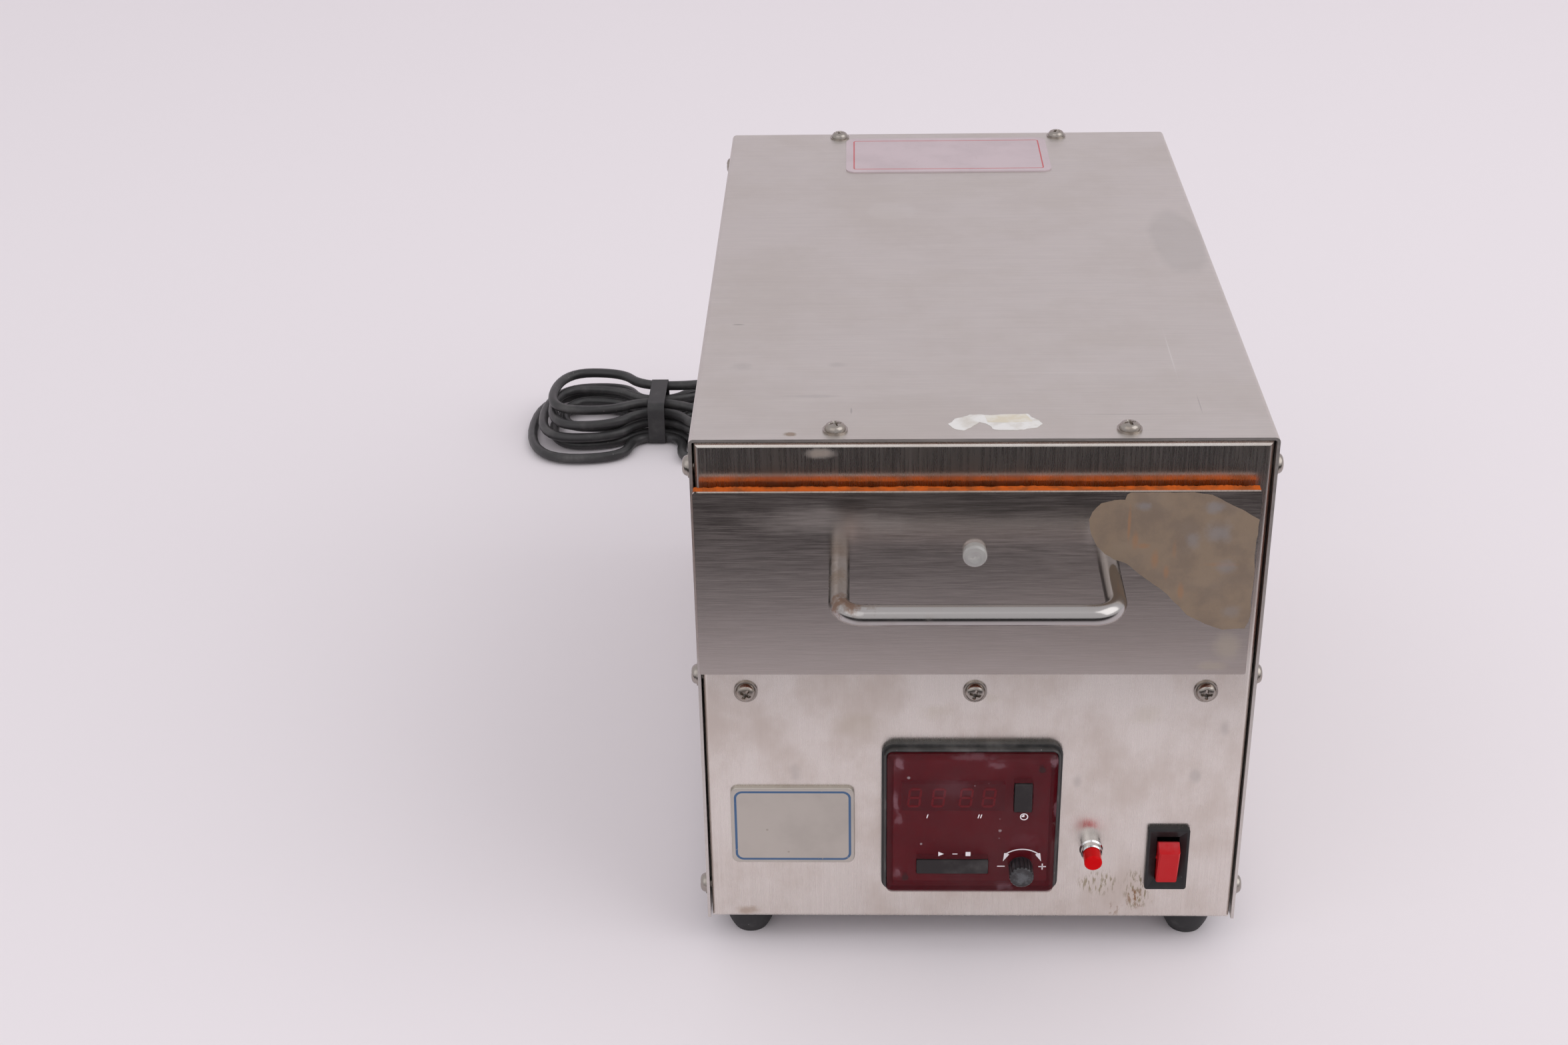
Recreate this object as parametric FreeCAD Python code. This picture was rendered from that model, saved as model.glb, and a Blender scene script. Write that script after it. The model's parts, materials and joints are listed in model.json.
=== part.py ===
"""Bench ultraviolet ozone cleaner: a steel case with a sample drawer, a lamp chamber and a timer.

Every length is in millimetres. X runs to the right, Y to the back and Z up. The shapes are drawn
with Y = 0 at the front edge of the case and moved at export, so that the origin lies on the bench
in the middle of the footprint.
"""
import FreeCAD, Part
import math
import os

from FreeCAD import Rotation, Vector

# Case: an inverted U of sheet over a folded front, back and floor.
CASE_WIDTH = 218.0
CASE_DEPTH = 350.0
CASE_HEIGHT = 222.0
FOOT_HEIGHT = 16.8
COVER_DROP = 0.8
SHEET = 1.2
COVER_BEND = 2.0
PANEL_BEND = 2.0
PANEL_SET_BACK = 0.7
PANEL_SIDE_GAP = 0.6
PANEL_TOP_GAP = 0.8
RIM_DEPTH = 14.0
BOTTOM_RIM_DEPTH = 6.0
RIM_NOTCH = 3.2
FIT_GAP = 0.2

# Shelf between the electronics bay and the lamp chamber, and the chamber's own liner.
SHELF_RISE = 119.2
SHELF_RIM = 15.0
FLOOR_RIM = 15.0
LINER_SHEET = 1.0
LINER_DEPTH = 209.0
LINER_FRONT = 3.0
LINER_SIDE_GAP = 8.3
LINER_TOP_GAP = 7.2

# Screws: pan heads on flat washers.
SCREW_RADIUS = 2.0
SCREW_LENGTH = 8.0
HEAD_RADIUS = 4.0
HEAD_HEIGHT = 2.4
WASHER_RADIUS = 4.7
WASHER_THICKNESS = 0.8
SCREW_HOLE_RADIUS = 2.3
SCREW_INSET_FRONT = 7.4
SCREW_INSET_BACK = 5.6
TOP_SCREW_SPREAD = 54.5
PANEL_SCREW_SPREAD = 90.0
PANEL_SCREW_RISE = 110.6
SIDE_SCREW_RISES = (11.6, 114.4, 206.9)

# Door: a thin plate with a sponge gasket behind it. At rest it stands a little off the panel.
DOOR_SIDE_OVERLAP = 10.7
DOOR_OFFSET = -2.0
DOOR_HEIGHT = 79.5
DOOR_RISE = 123.0
DOOR_THICKNESS = 1.2
GASKET_THICKNESS = 4.1
DOOR_GAP = 2.2
DOOR_CORNER = 0.8

# Drawer opening in the front panel, and the tray that passes through it.
OPENING_SIDE_GAP = 0.5
OPENING_RISE = 129.2
OPENING_HEIGHT = 68.0
OPENING_CORNER = 4.0
TRAY_SHEET = 1.2
TRAY_DEPTH = 199.0
TRAY_RISE = 133.2
TRAY_WALL_HEIGHT = 22.0
TRAY_FRONT_HEIGHT = 54.0
TRAY_BEND = 2.0

# Slides: a bar on each side of the tray runs in a channel on the liner's wall.
CHANNEL_SHEET = 1.5
CHANNEL_LIP = 8.5
CHANNEL_LENGTH = 200.0
CHANNEL_FRONT = 6.0
RUNNER_HEIGHT = 8.0
RUNNER_WIDTH = 11.5
RUNNER_RISE = 143.2
RUNNER_LENGTH = 190.0
RUNNER_FRONT = 5.0
SLIDE_CLEARANCE = 0.4
RUNNER_SIDE_CLEARANCE = 1.0

# Handle: a bent round bar on two legs.
HANDLE_SPREAD = 101.6
HANDLE_DIAMETER = 7.9
HANDLE_REACH = 36.6
HANDLE_BEND = 9.0
HANDLE_RISE = 169.1
HANDLE_SCREW_LENGTH = 12.0
HANDLE_HEAD_RADIUS = 3.6

# Viewing button: a clear rod that shows the glow of the lamp.
VIEW_RADIUS = 4.6
VIEW_REACH = 3.8
VIEW_SHANK_RADIUS = 3.0
VIEW_RISE = 176.9
VIEW_DIMPLE = 0.9

# Lamp: a flat grid of quartz tube under a folded reflector.
LAMP_TUBE_RADIUS = 3.0
LAMP_RUNS = 6
LAMP_PITCH = 24.0
LAMP_RUN_LENGTH = 126.0
LAMP_DROP = 14.0
LAMP_FRONT = 32.0
LAMP_LEG = 14.0
REFLECTOR_MARGIN = 14.0
REFLECTOR_RIM = 7.0
REFLECTOR_SHEET = 0.8
CLIP_WIDTH = 6.0
CLIP_WALL = 1.2
SOCKET_SIZE = (16.0, 18.0, 20.0)

# Controls on the front panel. The free width between them is shared out in fixed parts.
PANEL_OFFSET = -0.4
NAMEPLATE_WIDTH = 50.1
NAMEPLATE_HEIGHT = 37.0
NAMEPLATE_THICKNESS = 1.6
NAMEPLATE_CORNER = 3.0
NAMEPLATE_RISE = 46.6
TIMER_SIZE = 72.0
TIMER_RISE = 50.8
LAMP_RING_RADIUS = 4.75
PILOT_RISE = 36.4
SWITCH_WIDTH = 17.0
SWITCH_HEIGHT = 30.2
SWITCH_RISE = 30.4
SPACE_PARTS = (9.7, 10.9, 8.3, 18.0, 18.8)

# Timer: panel frame, red window, face with its display, two keys and a knob.
BEZEL_REACH = 4.6
BEZEL_STEP = 2.0
BEZEL_CORNER = 5.0
BEZEL_WALL = 1.9
WINDOW_REACH = 7.9
WINDOW_THICKNESS = 2.6
WINDOW_CORNER = 2.4
WINDOW_CHAMFER = 1.6
WINDOW_RIM = 5.2
FACE_THICKNESS = 1.4
TIMER_DEPTH = 74.0
TIMER_CUTOUT = TIMER_SIZE - 3.8
DISPLAY_DEPTH = 2.6
DIGIT_LEAN = 0.10
DIGIT_DEPTH = 0.4
KEY_REACH = 0.5
KEY_THICKNESS = 4.4
KEY_CLEARANCE = 0.35
# What lies on the face grows with the frame: these sizes are for a 72 mm one.
FACE_SCALE = TIMER_SIZE / 72.0
DISPLAY_SIZE = (41.4 * FACE_SCALE, 13.0 * FACE_SCALE)
DISPLAY_AT = (-7.3 * FACE_SCALE, 12.1 * FACE_SCALE)
DIGIT_HEIGHT = 9.2 * FACE_SCALE
DIGIT_WIDTH = 5.4 * FACE_SCALE
DIGIT_STROKE = 0.9 * FACE_SCALE
DIGIT_CENTRES = tuple(offset * FACE_SCALE for offset in (-15.5, -5.9, 5.1, 14.3))
CLOCK_KEY_SIZE = (7.1 * FACE_SCALE, 13.6 * FACE_SCALE)
CLOCK_KEY_AT = (20.4 * FACE_SCALE, 14.3 * FACE_SCALE)
START_KEY_SIZE = (29.0 * FACE_SCALE, 6.8 * FACE_SCALE)
START_KEY_AT = (-7.3 * FACE_SCALE, -19.7 * FACE_SCALE)
KNOB_AT = (20.3 * FACE_SCALE, -19.4 * FACE_SCALE)
KNOB_RADIUS = 4.9 * FACE_SCALE
KNOB_LENGTH = 7.6
KNOB_FLUTES = 18
KNOB_SHAFT_RADIUS = 2.2
KNOB_SHAFT_LENGTH = 3.0

# Pilot lamp: chromed ring, red lens and the body behind the panel.
PILOT_HOLE_RADIUS = 4.1
PILOT_BODY_RADIUS = 3.9
PILOT_BODY_LENGTH = 26.0
PILOT_NUT_RADIUS = 6.2
PILOT_NUT_THICKNESS = 2.4
PILOT_RING_REACH = 6.8
PILOT_RING_LIP = 3.4
PILOT_LENS_RADIUS = 3.6
PILOT_LENS_REACH = 13.0

# Mains switch: a snap-in frame and a rocker on a cross pin.
SWITCH_CORNER = 1.2
SWITCH_REACH = 2.4
SWITCH_RIM = 1.1
SWITCH_SLOPE = 1.4
SWITCH_BODY = (13.2, 28.0, 20.0)
SWITCH_WELL = 7.5
ROCKER_WIDTH = 8.4
ROCKER_FACE_REACH = 6.2
ROCKER_FACE_HALF = 8.8
ROCKER_SHOULDER = (1.0, 10.2)
ROCKER_HEEL = (-4.0, 5.0)
ROCKER_TILT = 13.5
ROCKER_EDGE = 0.6
ROCKER_CLEARANCE = 0.35
TRUNNION_RADIUS = 0.9
TRUNNION_LENGTH = 1.1
TRUNNION_CLEARANCE = 0.05

# Feet: domed rubber bumpers.
FOOT_RADIUS = 11.0
FOOT_TIP_RADIUS = 7.2
FOOT_INSET_X = 17.0
FOOT_INSET_Y = 18.0
FOOT_BORE_RADIUS = 4.4
FOOT_BORE_DEPTH = 7.0

# Plate on the top at the back.
TOP_PLATE_WIDTH = 99.6
TOP_PLATE_DEPTH = 49.6
TOP_PLATE_THICKNESS = 0.6
TOP_PLATE_CORNER = 5.0
TOP_PLATE_FROM_BACK = 9.0
TOP_PLATE_OFFSET = -1.4

# Back panel: exhaust spigot, fuse holder and strain relief.
EXHAUST_RADIUS = 12.7
EXHAUST_WALL = 1.6
EXHAUST_REACH = 27.0
EXHAUST_FLANGE_RADIUS = 20.0
EXHAUST_FLANGE_THICKNESS = 2.0
EXHAUST_AT = (55.0, 172.0)
FUSE_RADIUS = 6.3
FUSE_FLANGE_RADIUS = 8.5
FUSE_FLANGE_THICKNESS = 2.0
FUSE_LENGTH = 32.0
FUSE_CAP_RADIUS = 6.0
FUSE_CAP_LENGTH = 6.5
FUSE_CAP_GAP = 0.3
FUSE_STEM_RADIUS = 4.0
FUSE_STEM_LENGTH = 10.0
FUSE_STEM_CLEARANCE = 0.06
FUSE_AT = (52.0, 27.0)
RELIEF_AT = (12.0, 24.0)
RELIEF_RADIUS = 6.2
RELIEF_FLANGE_RADIUS = 8.5
RELIEF_FLANGE_THICKNESS = 2.4
RELIEF_LENGTH = 24.0
RELIEF_TIP_RADIUS = 4.0
RELIEF_TAIL = 9.0

# Interlock: a sprung plunger that the back of the tray pushes home.
PLUNGER_RADIUS = 2.0
PLUNGER_GAP = 0.4
PLUNGER_TRAVEL = 2.5
PLUNGER_CLEARANCE = 0.05
INTERLOCK_SIZE = (20.0, 12.0, 14.0)
INTERLOCK_AT = (-50.0, 141.2)

# Electronics bay: lamp transformer and terminal block.
CORE_SIZE = (76.0, 44.0, 64.0)
CORE_LEG = 25.0
CORE_WINDOW = (12.7, 38.0)
CORE_AT = (44.0, 232.0)
WINDING_WALL = 11.5
WINDING_GAP = 0.5
STRAP_SHEET = 1.5
STRAP_FOOT = 12.0
TERMINAL_SIZE = (16.0, 76.0, 12.0)
TERMINAL_AT = (-62.0, 210.0)
TERMINAL_BARRIERS = 7
TERMINAL_BARRIER_HEIGHT = 5.0

# Cord: a lead from the relief, a hank tied at its waist and a short tail to the plug. The hank's
# waist, run and lobe are each a start, a growth and a bend over the size of the turn.
CORD_DIAMETER = 5.8
CORNER_SHARE = 0.45
HANK_X = -168.0
HANK_Y = 497.0
HANK_LOW_Z = 3.7
HANK_LAYER = 6.5
HANK_CLIMBS = (1.75, 3.25, 4.75)
HANK_STEP = 0.5
HANK_LAST_STEP = 1.5
HANK_FIRST_LOBE = -0.35
HANK_LOBE_TO_WAIST = 0.1
HANK_HALF_TURNS = 12
HANK_WAIST = (3.97, 13.72, 0.0)
HANK_RUN = (42.25, -7.54, -2.1)
HANK_LOBE = (12.89, 33.86, 2.1)
HANK_TURN_LENGTH = 370.0
HANK_END = 8.0
TIE_WIDTH = 10.0
TIE_THICKNESS = 0.6
TIE_GAP = 1.3
TIE_LIFT = 0.25
TIE_CORNER = 4.0
PLUG_RELIEF = 12.0
PLUG_NECK_RADIUS = 5.2
PLUG_LENGTH = 34.0
PLUG_GRIP = 16.0
PLUG_SECTION = (26.0, 20.6)
BLADE_SIZE = (15.9, 6.35, 1.5)
BLADE_PITCH = 12.7
BLADE_ROW = 4.5
EARTH_OFFSET = 11.9
EARTH_RADIUS = 2.4
EARTH_LENGTH = 17.5

# Derived places of the case.
BASE_Z = FOOT_HEIGHT
COVER_LOW_Z = BASE_Z - COVER_DROP
COVER_TOP_Z = COVER_LOW_Z + CASE_HEIGHT
HALF_WIDTH = CASE_WIDTH / 2
PANEL_HALF = HALF_WIDTH - SHEET - PANEL_SIDE_GAP
PANEL_LOW_Z = BASE_Z - SHEET
PANEL_TOP_Z = COVER_TOP_Z - SHEET - PANEL_TOP_GAP
PANEL_FACE_Y = PANEL_SET_BACK
INNER_HALF = PANEL_HALF - SHEET - FIT_GAP
INNER_FRONT_Y = PANEL_FACE_Y + SHEET + FIT_GAP
SHELF_Z = BASE_Z + SHELF_RISE
SHELF_TOP_Z = SHELF_Z + SHEET
LINER_HALF = INNER_HALF - LINER_SIDE_GAP
LINER_TOP_Z = COVER_TOP_Z - SHEET - LINER_TOP_GAP
LINER_BACK_Y = LINER_FRONT + LINER_DEPTH
CHANNEL_HALF = LINER_HALF - LINER_SHEET
OPENING_HALF = CHANNEL_HALF - CHANNEL_SHEET - OPENING_SIDE_GAP
RUNNER_HALF = CHANNEL_HALF - CHANNEL_SHEET - RUNNER_SIDE_CLEARANCE
TRAY_HALF = RUNNER_HALF - RUNNER_WIDTH
DOOR_BACK_Y = PANEL_FACE_Y - DOOR_GAP - GASKET_THICKNESS
DOOR_FRONT_Y = DOOR_BACK_Y - DOOR_THICKNESS
DOOR_LOW_Z = BASE_Z + DOOR_RISE
TRAY_BACK_Y = DOOR_BACK_Y + TRAY_DEPTH
BACK_FACE_Y = CASE_DEPTH - PANEL_SET_BACK
HANDLE_FRONT_Y = DOOR_FRONT_Y - HANDLE_REACH
EXHAUST_END_Y = BACK_FACE_Y + EXHAUST_REACH
CENTRE_Y = (HANDLE_FRONT_Y + EXHAUST_END_Y) / 2

# Free points of the cord's routes, whose corners are rounded. The lead goes down to the bench
# behind the case, turns left and crosses over the hank. The tail lies low and rises to the plug.
LEAD_POINTS = [
    (12.0, 395.0, 40.8), (13.0, 423.0, 29.0), (13.0, 446.0, 10.0), (11.0, 472.0, 3.1),
    (2.0, 500.0, 3.1), (-20.0, 523.0, 3.1), (-53.0, 537.0, 6.0), (-86.0, 535.0, 17.0),
    (-116.0, 523.0, 24.5),
]
LEAD_LAST_RUN = 17.0
TAIL_FIRST_RUN = 14.0
TAIL_POINTS = [(-94.0, 444.0, 10.4), (-80.0, 444.0, 10.4)]


def slab(x, y, z):
    """A box from three (low, high) pairs."""
    return Part.makeBox(x[1] - x[0], y[1] - y[0], z[1] - z[0], Vector(x[0], y[0], z[0]))


def centred_slab(size, middle):
    """A box of a given size about a middle point."""
    low = [m - s / 2 for m, s in zip(middle, size)]
    return Part.makeBox(size[0], size[1], size[2], Vector(*low))


def rod(radius, start, end):
    """A cylinder between two points."""
    start = Vector(*start)
    span = Vector(*end) - start
    return Part.makeCylinder(radius, span.Length, start, span)


def mirrored(shape):
    """The same shape on the other side of the case's middle plane."""
    return shape.mirror(Vector(0, 0, 0), Vector(1, 0, 0))


def front_to_back(shape):
    """The same shape at the other end of the case."""
    return shape.mirror(Vector(0, CASE_DEPTH / 2, 0), Vector(0, 1, 0))


def rounded_plate(width, height, corner, y_range, centre):
    """A plate that faces the front, with rounded corners; centre is (x, z)."""
    x0, x1 = centre[0] - width / 2, centre[0] + width / 2
    z0, z1 = centre[1] - height / 2, centre[1] + height / 2
    plate = slab((x0, x1), y_range, (z0, z1))
    return plate.makeFillet(corner, [e for e in plate.Edges if along(e, 1)])


def along(edge, axis):
    """Whether a straight edge runs along one axis."""
    if len(edge.Vertexes) != 2:
        return False
    a, b = (v.Point for v in edge.Vertexes)
    return all(abs(a[i] - b[i]) < 1e-6 for i in range(3) if i != axis)


def edges_at(shape, axis, level):
    """The edges that lie in one plane across an axis."""
    return [e for e in shape.Edges if all(abs(v.Point[axis] - level) < 1e-6 for v in e.Vertexes)]


def folded_pan(x, y, z, axis, closed_end, sheet, bend, notch):
    """A sheet folded into a shallow pan: one closed face, four rims and relief at the rim corners."""
    low = [x[0], y[0], z[0]]
    high = [x[1], y[1], z[1]]
    outer = slab(x, y, z)
    level = (low, high)[closed_end][axis]
    outer = outer.makeFillet(bend, edges_at(outer, axis, level))
    inner_low = [v + sheet for v in low]
    inner_high = [v - sheet for v in high]
    if closed_end == 0:
        inner_high[axis] = high[axis] + sheet
    else:
        inner_low[axis] = low[axis] - sheet
    inner = slab(*zip(inner_low, inner_high))
    inner_level = (inner_low, inner_high)[closed_end][axis]
    inner = inner.makeFillet(bend - sheet, edges_at(inner, axis, inner_level))
    pan = outer.cut(inner)
    others = [i for i in range(3) if i != axis]
    for end_a in (0, 1):
        for end_b in (0, 1):
            cut_low = list(low)
            cut_high = list(high)
            for index, end in zip(others, (end_a, end_b)):
                if end == 0:
                    cut_low[index] = low[index] - 1
                    cut_high[index] = low[index] + notch
                else:
                    cut_low[index] = high[index] - notch
                    cut_high[index] = high[index] + 1
            if closed_end == 0:
                cut_low[axis] = low[axis] + bend + sheet / 2
                cut_high[axis] = high[axis] + 1
            else:
                cut_low[axis] = low[axis] - 1
                cut_high[axis] = high[axis] - bend - sheet / 2
            pan = pan.cut(slab(*zip(cut_low, cut_high)))
    return pan


def lathe(points, centre, direction):
    """A turned solid: (radius, height) points revolved about an axis."""
    profile = [Vector(r, 0, h) for r, h in points]
    wire = Part.makePolygon(profile + profile[:1])
    solid = Part.Face(wire).revolve(Vector(0, 0, 0), Vector(0, 0, 1), 360)
    return placed(solid, centre, direction)


def placed(shape, centre, direction):
    """A shape drawn along +Z, turned to a direction and moved to a centre."""
    shape = shape.copy()
    shape.Placement = FreeCAD.Placement(Vector(*centre), Rotation(Vector(0, 0, 1), Vector(*direction)))
    return shape


def tube_between(outer, inner, start, end):
    """A hollow cylinder between two points."""
    return rod(outer, start, end).cut(rod(inner, start, end))


def screw_seats():
    """Where the case screws sit: (point on the sheet's outer face, outward direction)."""
    front_y = SCREW_INSET_FRONT
    back_y = CASE_DEPTH - SCREW_INSET_BACK
    seats = []
    for y in (front_y, back_y):
        for side in (-1, 1):
            seats.append(((side * TOP_SCREW_SPREAD, y, COVER_TOP_Z), (0, 0, 1)))
            for rise in SIDE_SCREW_RISES:
                seats.append(((side * HALF_WIDTH, y, BASE_Z + rise), (side, 0, 0)))
    return seats


def panel_screw_seats():
    """Where the three screws on the front panel and their twins on the back panel sit."""
    seats = []
    for step in (-1, 0, 1):
        x = PANEL_OFFSET + step * PANEL_SCREW_SPREAD
        z = BASE_Z + PANEL_SCREW_RISE
        seats.append(((x, PANEL_FACE_Y, z), (0, -1, 0)))
        seats.append(((x, BACK_FACE_Y, z), (0, 1, 0)))
    return seats


def screw_clearances(seats):
    """The holes that the screws pass through, as cylinders to cut away."""
    holes = []
    for point, direction in seats:
        outward = Vector(*direction)
        start = Vector(*point) + outward * 1.0
        holes.append(Part.makeCylinder(SCREW_HOLE_RADIUS, SCREW_LENGTH + 3.0, start, outward * -1))
    return holes


def pan_screw(length, head_radius, head_height):
    """A screw drawn along +Z with the underside of its head at zero."""
    shoulder = head_height * 0.3
    crown = head_radius * 0.62
    profile = [(0, -length), (SCREW_RADIUS, -length), (SCREW_RADIUS, 0), (head_radius, 0)]
    profile += [(head_radius, shoulder), (head_radius * 0.88, head_height * 0.68)]
    profile += [(crown, head_height * 0.93), (0, head_height)]
    return lathe(profile, (0, 0, 0), (0, 0, 1))


def washer():
    """A flat washer drawn along +Z, resting on zero."""
    disc = Part.makeCylinder(WASHER_RADIUS, WASHER_THICKNESS)
    return disc.cut(Part.makeCylinder(SCREW_RADIUS + FIT_GAP, WASHER_THICKNESS))


def make_fasteners():
    """Case and panel screws with their washers, one solid each."""
    seats = screw_seats() + panel_screw_seats()
    screw = pan_screw(SCREW_LENGTH, HEAD_RADIUS, HEAD_HEIGHT)
    flat = washer()
    screws = []
    washers = []
    for point, direction in seats:
        outward = Vector(*direction)
        head_seat = Vector(*point) + outward * WASHER_THICKNESS
        screws.append(placed(screw, head_seat, direction))
        washers.append(placed(flat, point, direction))
    return Part.makeCompound(screws), Part.makeCompound(washers)


def make_top_cover():
    """The cover: top and both sides folded from one sheet."""
    outer = slab((-HALF_WIDTH, HALF_WIDTH), (0, CASE_DEPTH), (COVER_LOW_Z, COVER_TOP_Z))
    upper = [e for e in edges_at(outer, 2, COVER_TOP_Z) if along(e, 1)]
    outer = outer.makeFillet(COVER_BEND, upper)
    half = HALF_WIDTH - SHEET
    inner = slab((-half, half), (-1, CASE_DEPTH + 1), (COVER_LOW_Z - 1, COVER_TOP_Z - SHEET))
    upper = [e for e in edges_at(inner, 2, COVER_TOP_Z - SHEET) if along(e, 1)]
    inner = inner.makeFillet(COVER_BEND - SHEET, upper)
    return outer.cut(inner).cut(screw_clearances(screw_seats()))


def end_panel():
    """A full-height folded panel as used at the front, with a short rim at the bottom."""
    y = (PANEL_FACE_Y, PANEL_FACE_Y + RIM_DEPTH)
    z = (PANEL_LOW_Z, PANEL_TOP_Z)
    panel = folded_pan((-PANEL_HALF, PANEL_HALF), y, z, 1, 0, SHEET, PANEL_BEND, RIM_NOTCH)
    short = slab((-PANEL_HALF, PANEL_HALF), (PANEL_FACE_Y + BOTTOM_RIM_DEPTH, y[1] + 1),
                 (PANEL_LOW_Z - 1, PANEL_LOW_Z + SHEET + 0.01))
    return panel.cut(short)


def drawer_opening():
    """The solid that cuts the drawer's way through the front panel."""
    centre = (0, BASE_Z + OPENING_RISE + OPENING_HEIGHT / 2)
    return rounded_plate(2 * OPENING_HALF, OPENING_HEIGHT, OPENING_CORNER, (-1, RIM_DEPTH), centre)


def control_places():
    """The middle X of each control, from the widths and the shared-out free space."""
    widths = (NAMEPLATE_WIDTH, TIMER_SIZE, 2 * LAMP_RING_RADIUS, SWITCH_WIDTH)
    free = 2 * PANEL_HALF - sum(widths)
    unit = free / sum(SPACE_PARTS)
    x = PANEL_OFFSET - PANEL_HALF
    places = []
    for width, part in zip(widths, SPACE_PARTS):
        x += part * unit
        places.append(x + width / 2)
        x += width
    return places


NAMEPLATE_X, TIMER_X, PILOT_X, SWITCH_X = control_places()
TIMER_Z = BASE_Z + TIMER_RISE
PILOT_Z = BASE_Z + PILOT_RISE
SWITCH_Z = BASE_Z + SWITCH_RISE


def make_front_panel():
    """The front panel with the drawer opening and the cut-outs of the controls."""
    panel = end_panel()
    deep = (-1, PANEL_FACE_Y + SHEET + 0.5)
    cuts = [drawer_opening()]
    cuts.append(rounded_plate(TIMER_CUTOUT, TIMER_CUTOUT, 1.0, deep, (TIMER_X, TIMER_Z)))
    body_width, body_height, _ = SWITCH_BODY
    cuts.append(rounded_plate(body_width + 2 * FIT_GAP, body_height + 2 * FIT_GAP, 0.6, deep,
                              (SWITCH_X, SWITCH_Z)))
    cuts.append(rod(PILOT_HOLE_RADIUS, (PILOT_X, -1, PILOT_Z), (PILOT_X, 4, PILOT_Z)))
    cuts += screw_clearances(screw_seats() + panel_screw_seats())
    return panel.cut(cuts)


def make_back_panel():
    """The back panel with the holes of the exhaust spigot, the fuse and the cord."""
    panel = front_to_back(end_panel())
    y = (BACK_FACE_Y - 4, BACK_FACE_Y + 1)
    cuts = []
    for at, radius in ((EXHAUST_AT, EXHAUST_RADIUS), (FUSE_AT, FUSE_RADIUS), (RELIEF_AT, RELIEF_RADIUS)):
        x, z = at[0], BASE_Z + at[1]
        cuts.append(rod(radius + FIT_GAP, (x, y[0], z), (x, y[1], z)))
    cuts += screw_clearances(screw_seats() + panel_screw_seats())
    return panel.cut(cuts)


def make_bottom_plate():
    """The floor of the case, with its rims turned up and holes for the foot screws."""
    y = (INNER_FRONT_Y, CASE_DEPTH - INNER_FRONT_Y)
    floor = folded_pan((-INNER_HALF, INNER_HALF), y, (BASE_Z, BASE_Z + FLOOR_RIM), 2, 0,
                       SHEET, PANEL_BEND, RIM_NOTCH)
    cuts = screw_clearances(screw_seats())
    for x, y in foot_places():
        cuts.append(rod(SCREW_HOLE_RADIUS, (x, y, BASE_Z - 1), (x, y, BASE_Z + SHEET + 1)))
    return floor.cut(cuts)


def make_shelf():
    """The shelf that carries the chamber, with its rims turned down behind the panel screws."""
    y = (INNER_FRONT_Y, CASE_DEPTH - INNER_FRONT_Y)
    z = (SHELF_TOP_Z - SHELF_RIM, SHELF_TOP_Z)
    shelf = folded_pan((-INNER_HALF, INNER_HALF), y, z, 2, 1, SHEET, PANEL_BEND, RIM_NOTCH)
    return shelf.cut(screw_clearances(screw_seats() + panel_screw_seats()))


def make_chamber_liner():
    """The bright liner of the lamp chamber: two sides, a roof and a back, open to the front."""
    y = (LINER_FRONT, LINER_BACK_Y)
    z = (SHELF_TOP_Z, LINER_TOP_Z)
    outer = slab((-LINER_HALF, LINER_HALF), y, z)
    half = LINER_HALF - LINER_SHEET
    inner = slab((-half, half), (y[0] - 1, y[1] - LINER_SHEET), (z[0] - 1, z[1] - LINER_SHEET))
    bend = LINER_SHEET * 1.5
    outer = outer.makeFillet(bend, [e for e in edges_at(outer, 2, z[1]) if along(e, 1)])
    liner = outer.cut(inner)
    x, exhaust_z = EXHAUST_AT[0], BASE_Z + EXHAUST_AT[1]
    bore = EXHAUST_RADIUS - EXHAUST_WALL
    cuts = [rod(bore, (x, y[1] - 4, exhaust_z), (x, y[1] + 4, exhaust_z))]
    plunger_z = BASE_Z + INTERLOCK_AT[1]
    hole = PLUNGER_RADIUS + KEY_CLEARANCE
    cuts.append(rod(hole, (INTERLOCK_AT[0], y[1] - 4, plunger_z), (INTERLOCK_AT[0], y[1] + 4, plunger_z)))
    return liner.cut(cuts)


def make_slide_channel():
    """The left channel: a C of sheet on the liner's wall, open towards the tray."""
    web = -CHANNEL_HALF
    inside = RUNNER_HEIGHT + 2 * SLIDE_CLEARANCE
    middle = BASE_Z + RUNNER_RISE + RUNNER_HEIGHT / 2
    y = (CHANNEL_FRONT, CHANNEL_FRONT + CHANNEL_LENGTH)
    half = inside / 2 + CHANNEL_SHEET
    outer = slab((web, web + CHANNEL_SHEET + CHANNEL_LIP), y, (middle - half, middle + half))
    inner = slab((web + CHANNEL_SHEET, web + CHANNEL_LIP * 2), (y[0] - 1, y[1] + 1),
                 (middle - inside / 2, middle + inside / 2))
    back = [e for e in edges_at(outer, 0, web) if along(e, 1)]
    return outer.makeFillet(CHANNEL_SHEET * 0.8, back).cut(inner)


def make_drawer_runner():
    """The left runner: a bar on the tray's side with a lead-in at its back end."""
    z = (BASE_Z + RUNNER_RISE, BASE_Z + RUNNER_RISE + RUNNER_HEIGHT)
    y = (RUNNER_FRONT, RUNNER_FRONT + RUNNER_LENGTH)
    bar = slab((-RUNNER_HALF, -TRAY_HALF), y, z)
    lead_in = [e for e in edges_at(bar, 1, y[1]) if along(e, 0)]
    bar = bar.makeChamfer(1.5, lead_in)
    groove = slab((-RUNNER_HALF - 1, -RUNNER_HALF + 2.0), (y[0] - 1, y[1] + 1),
                  (z[0] + RUNNER_HEIGHT * 0.3, z[1] - RUNNER_HEIGHT * 0.3))
    return bar.cut(groove)


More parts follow.
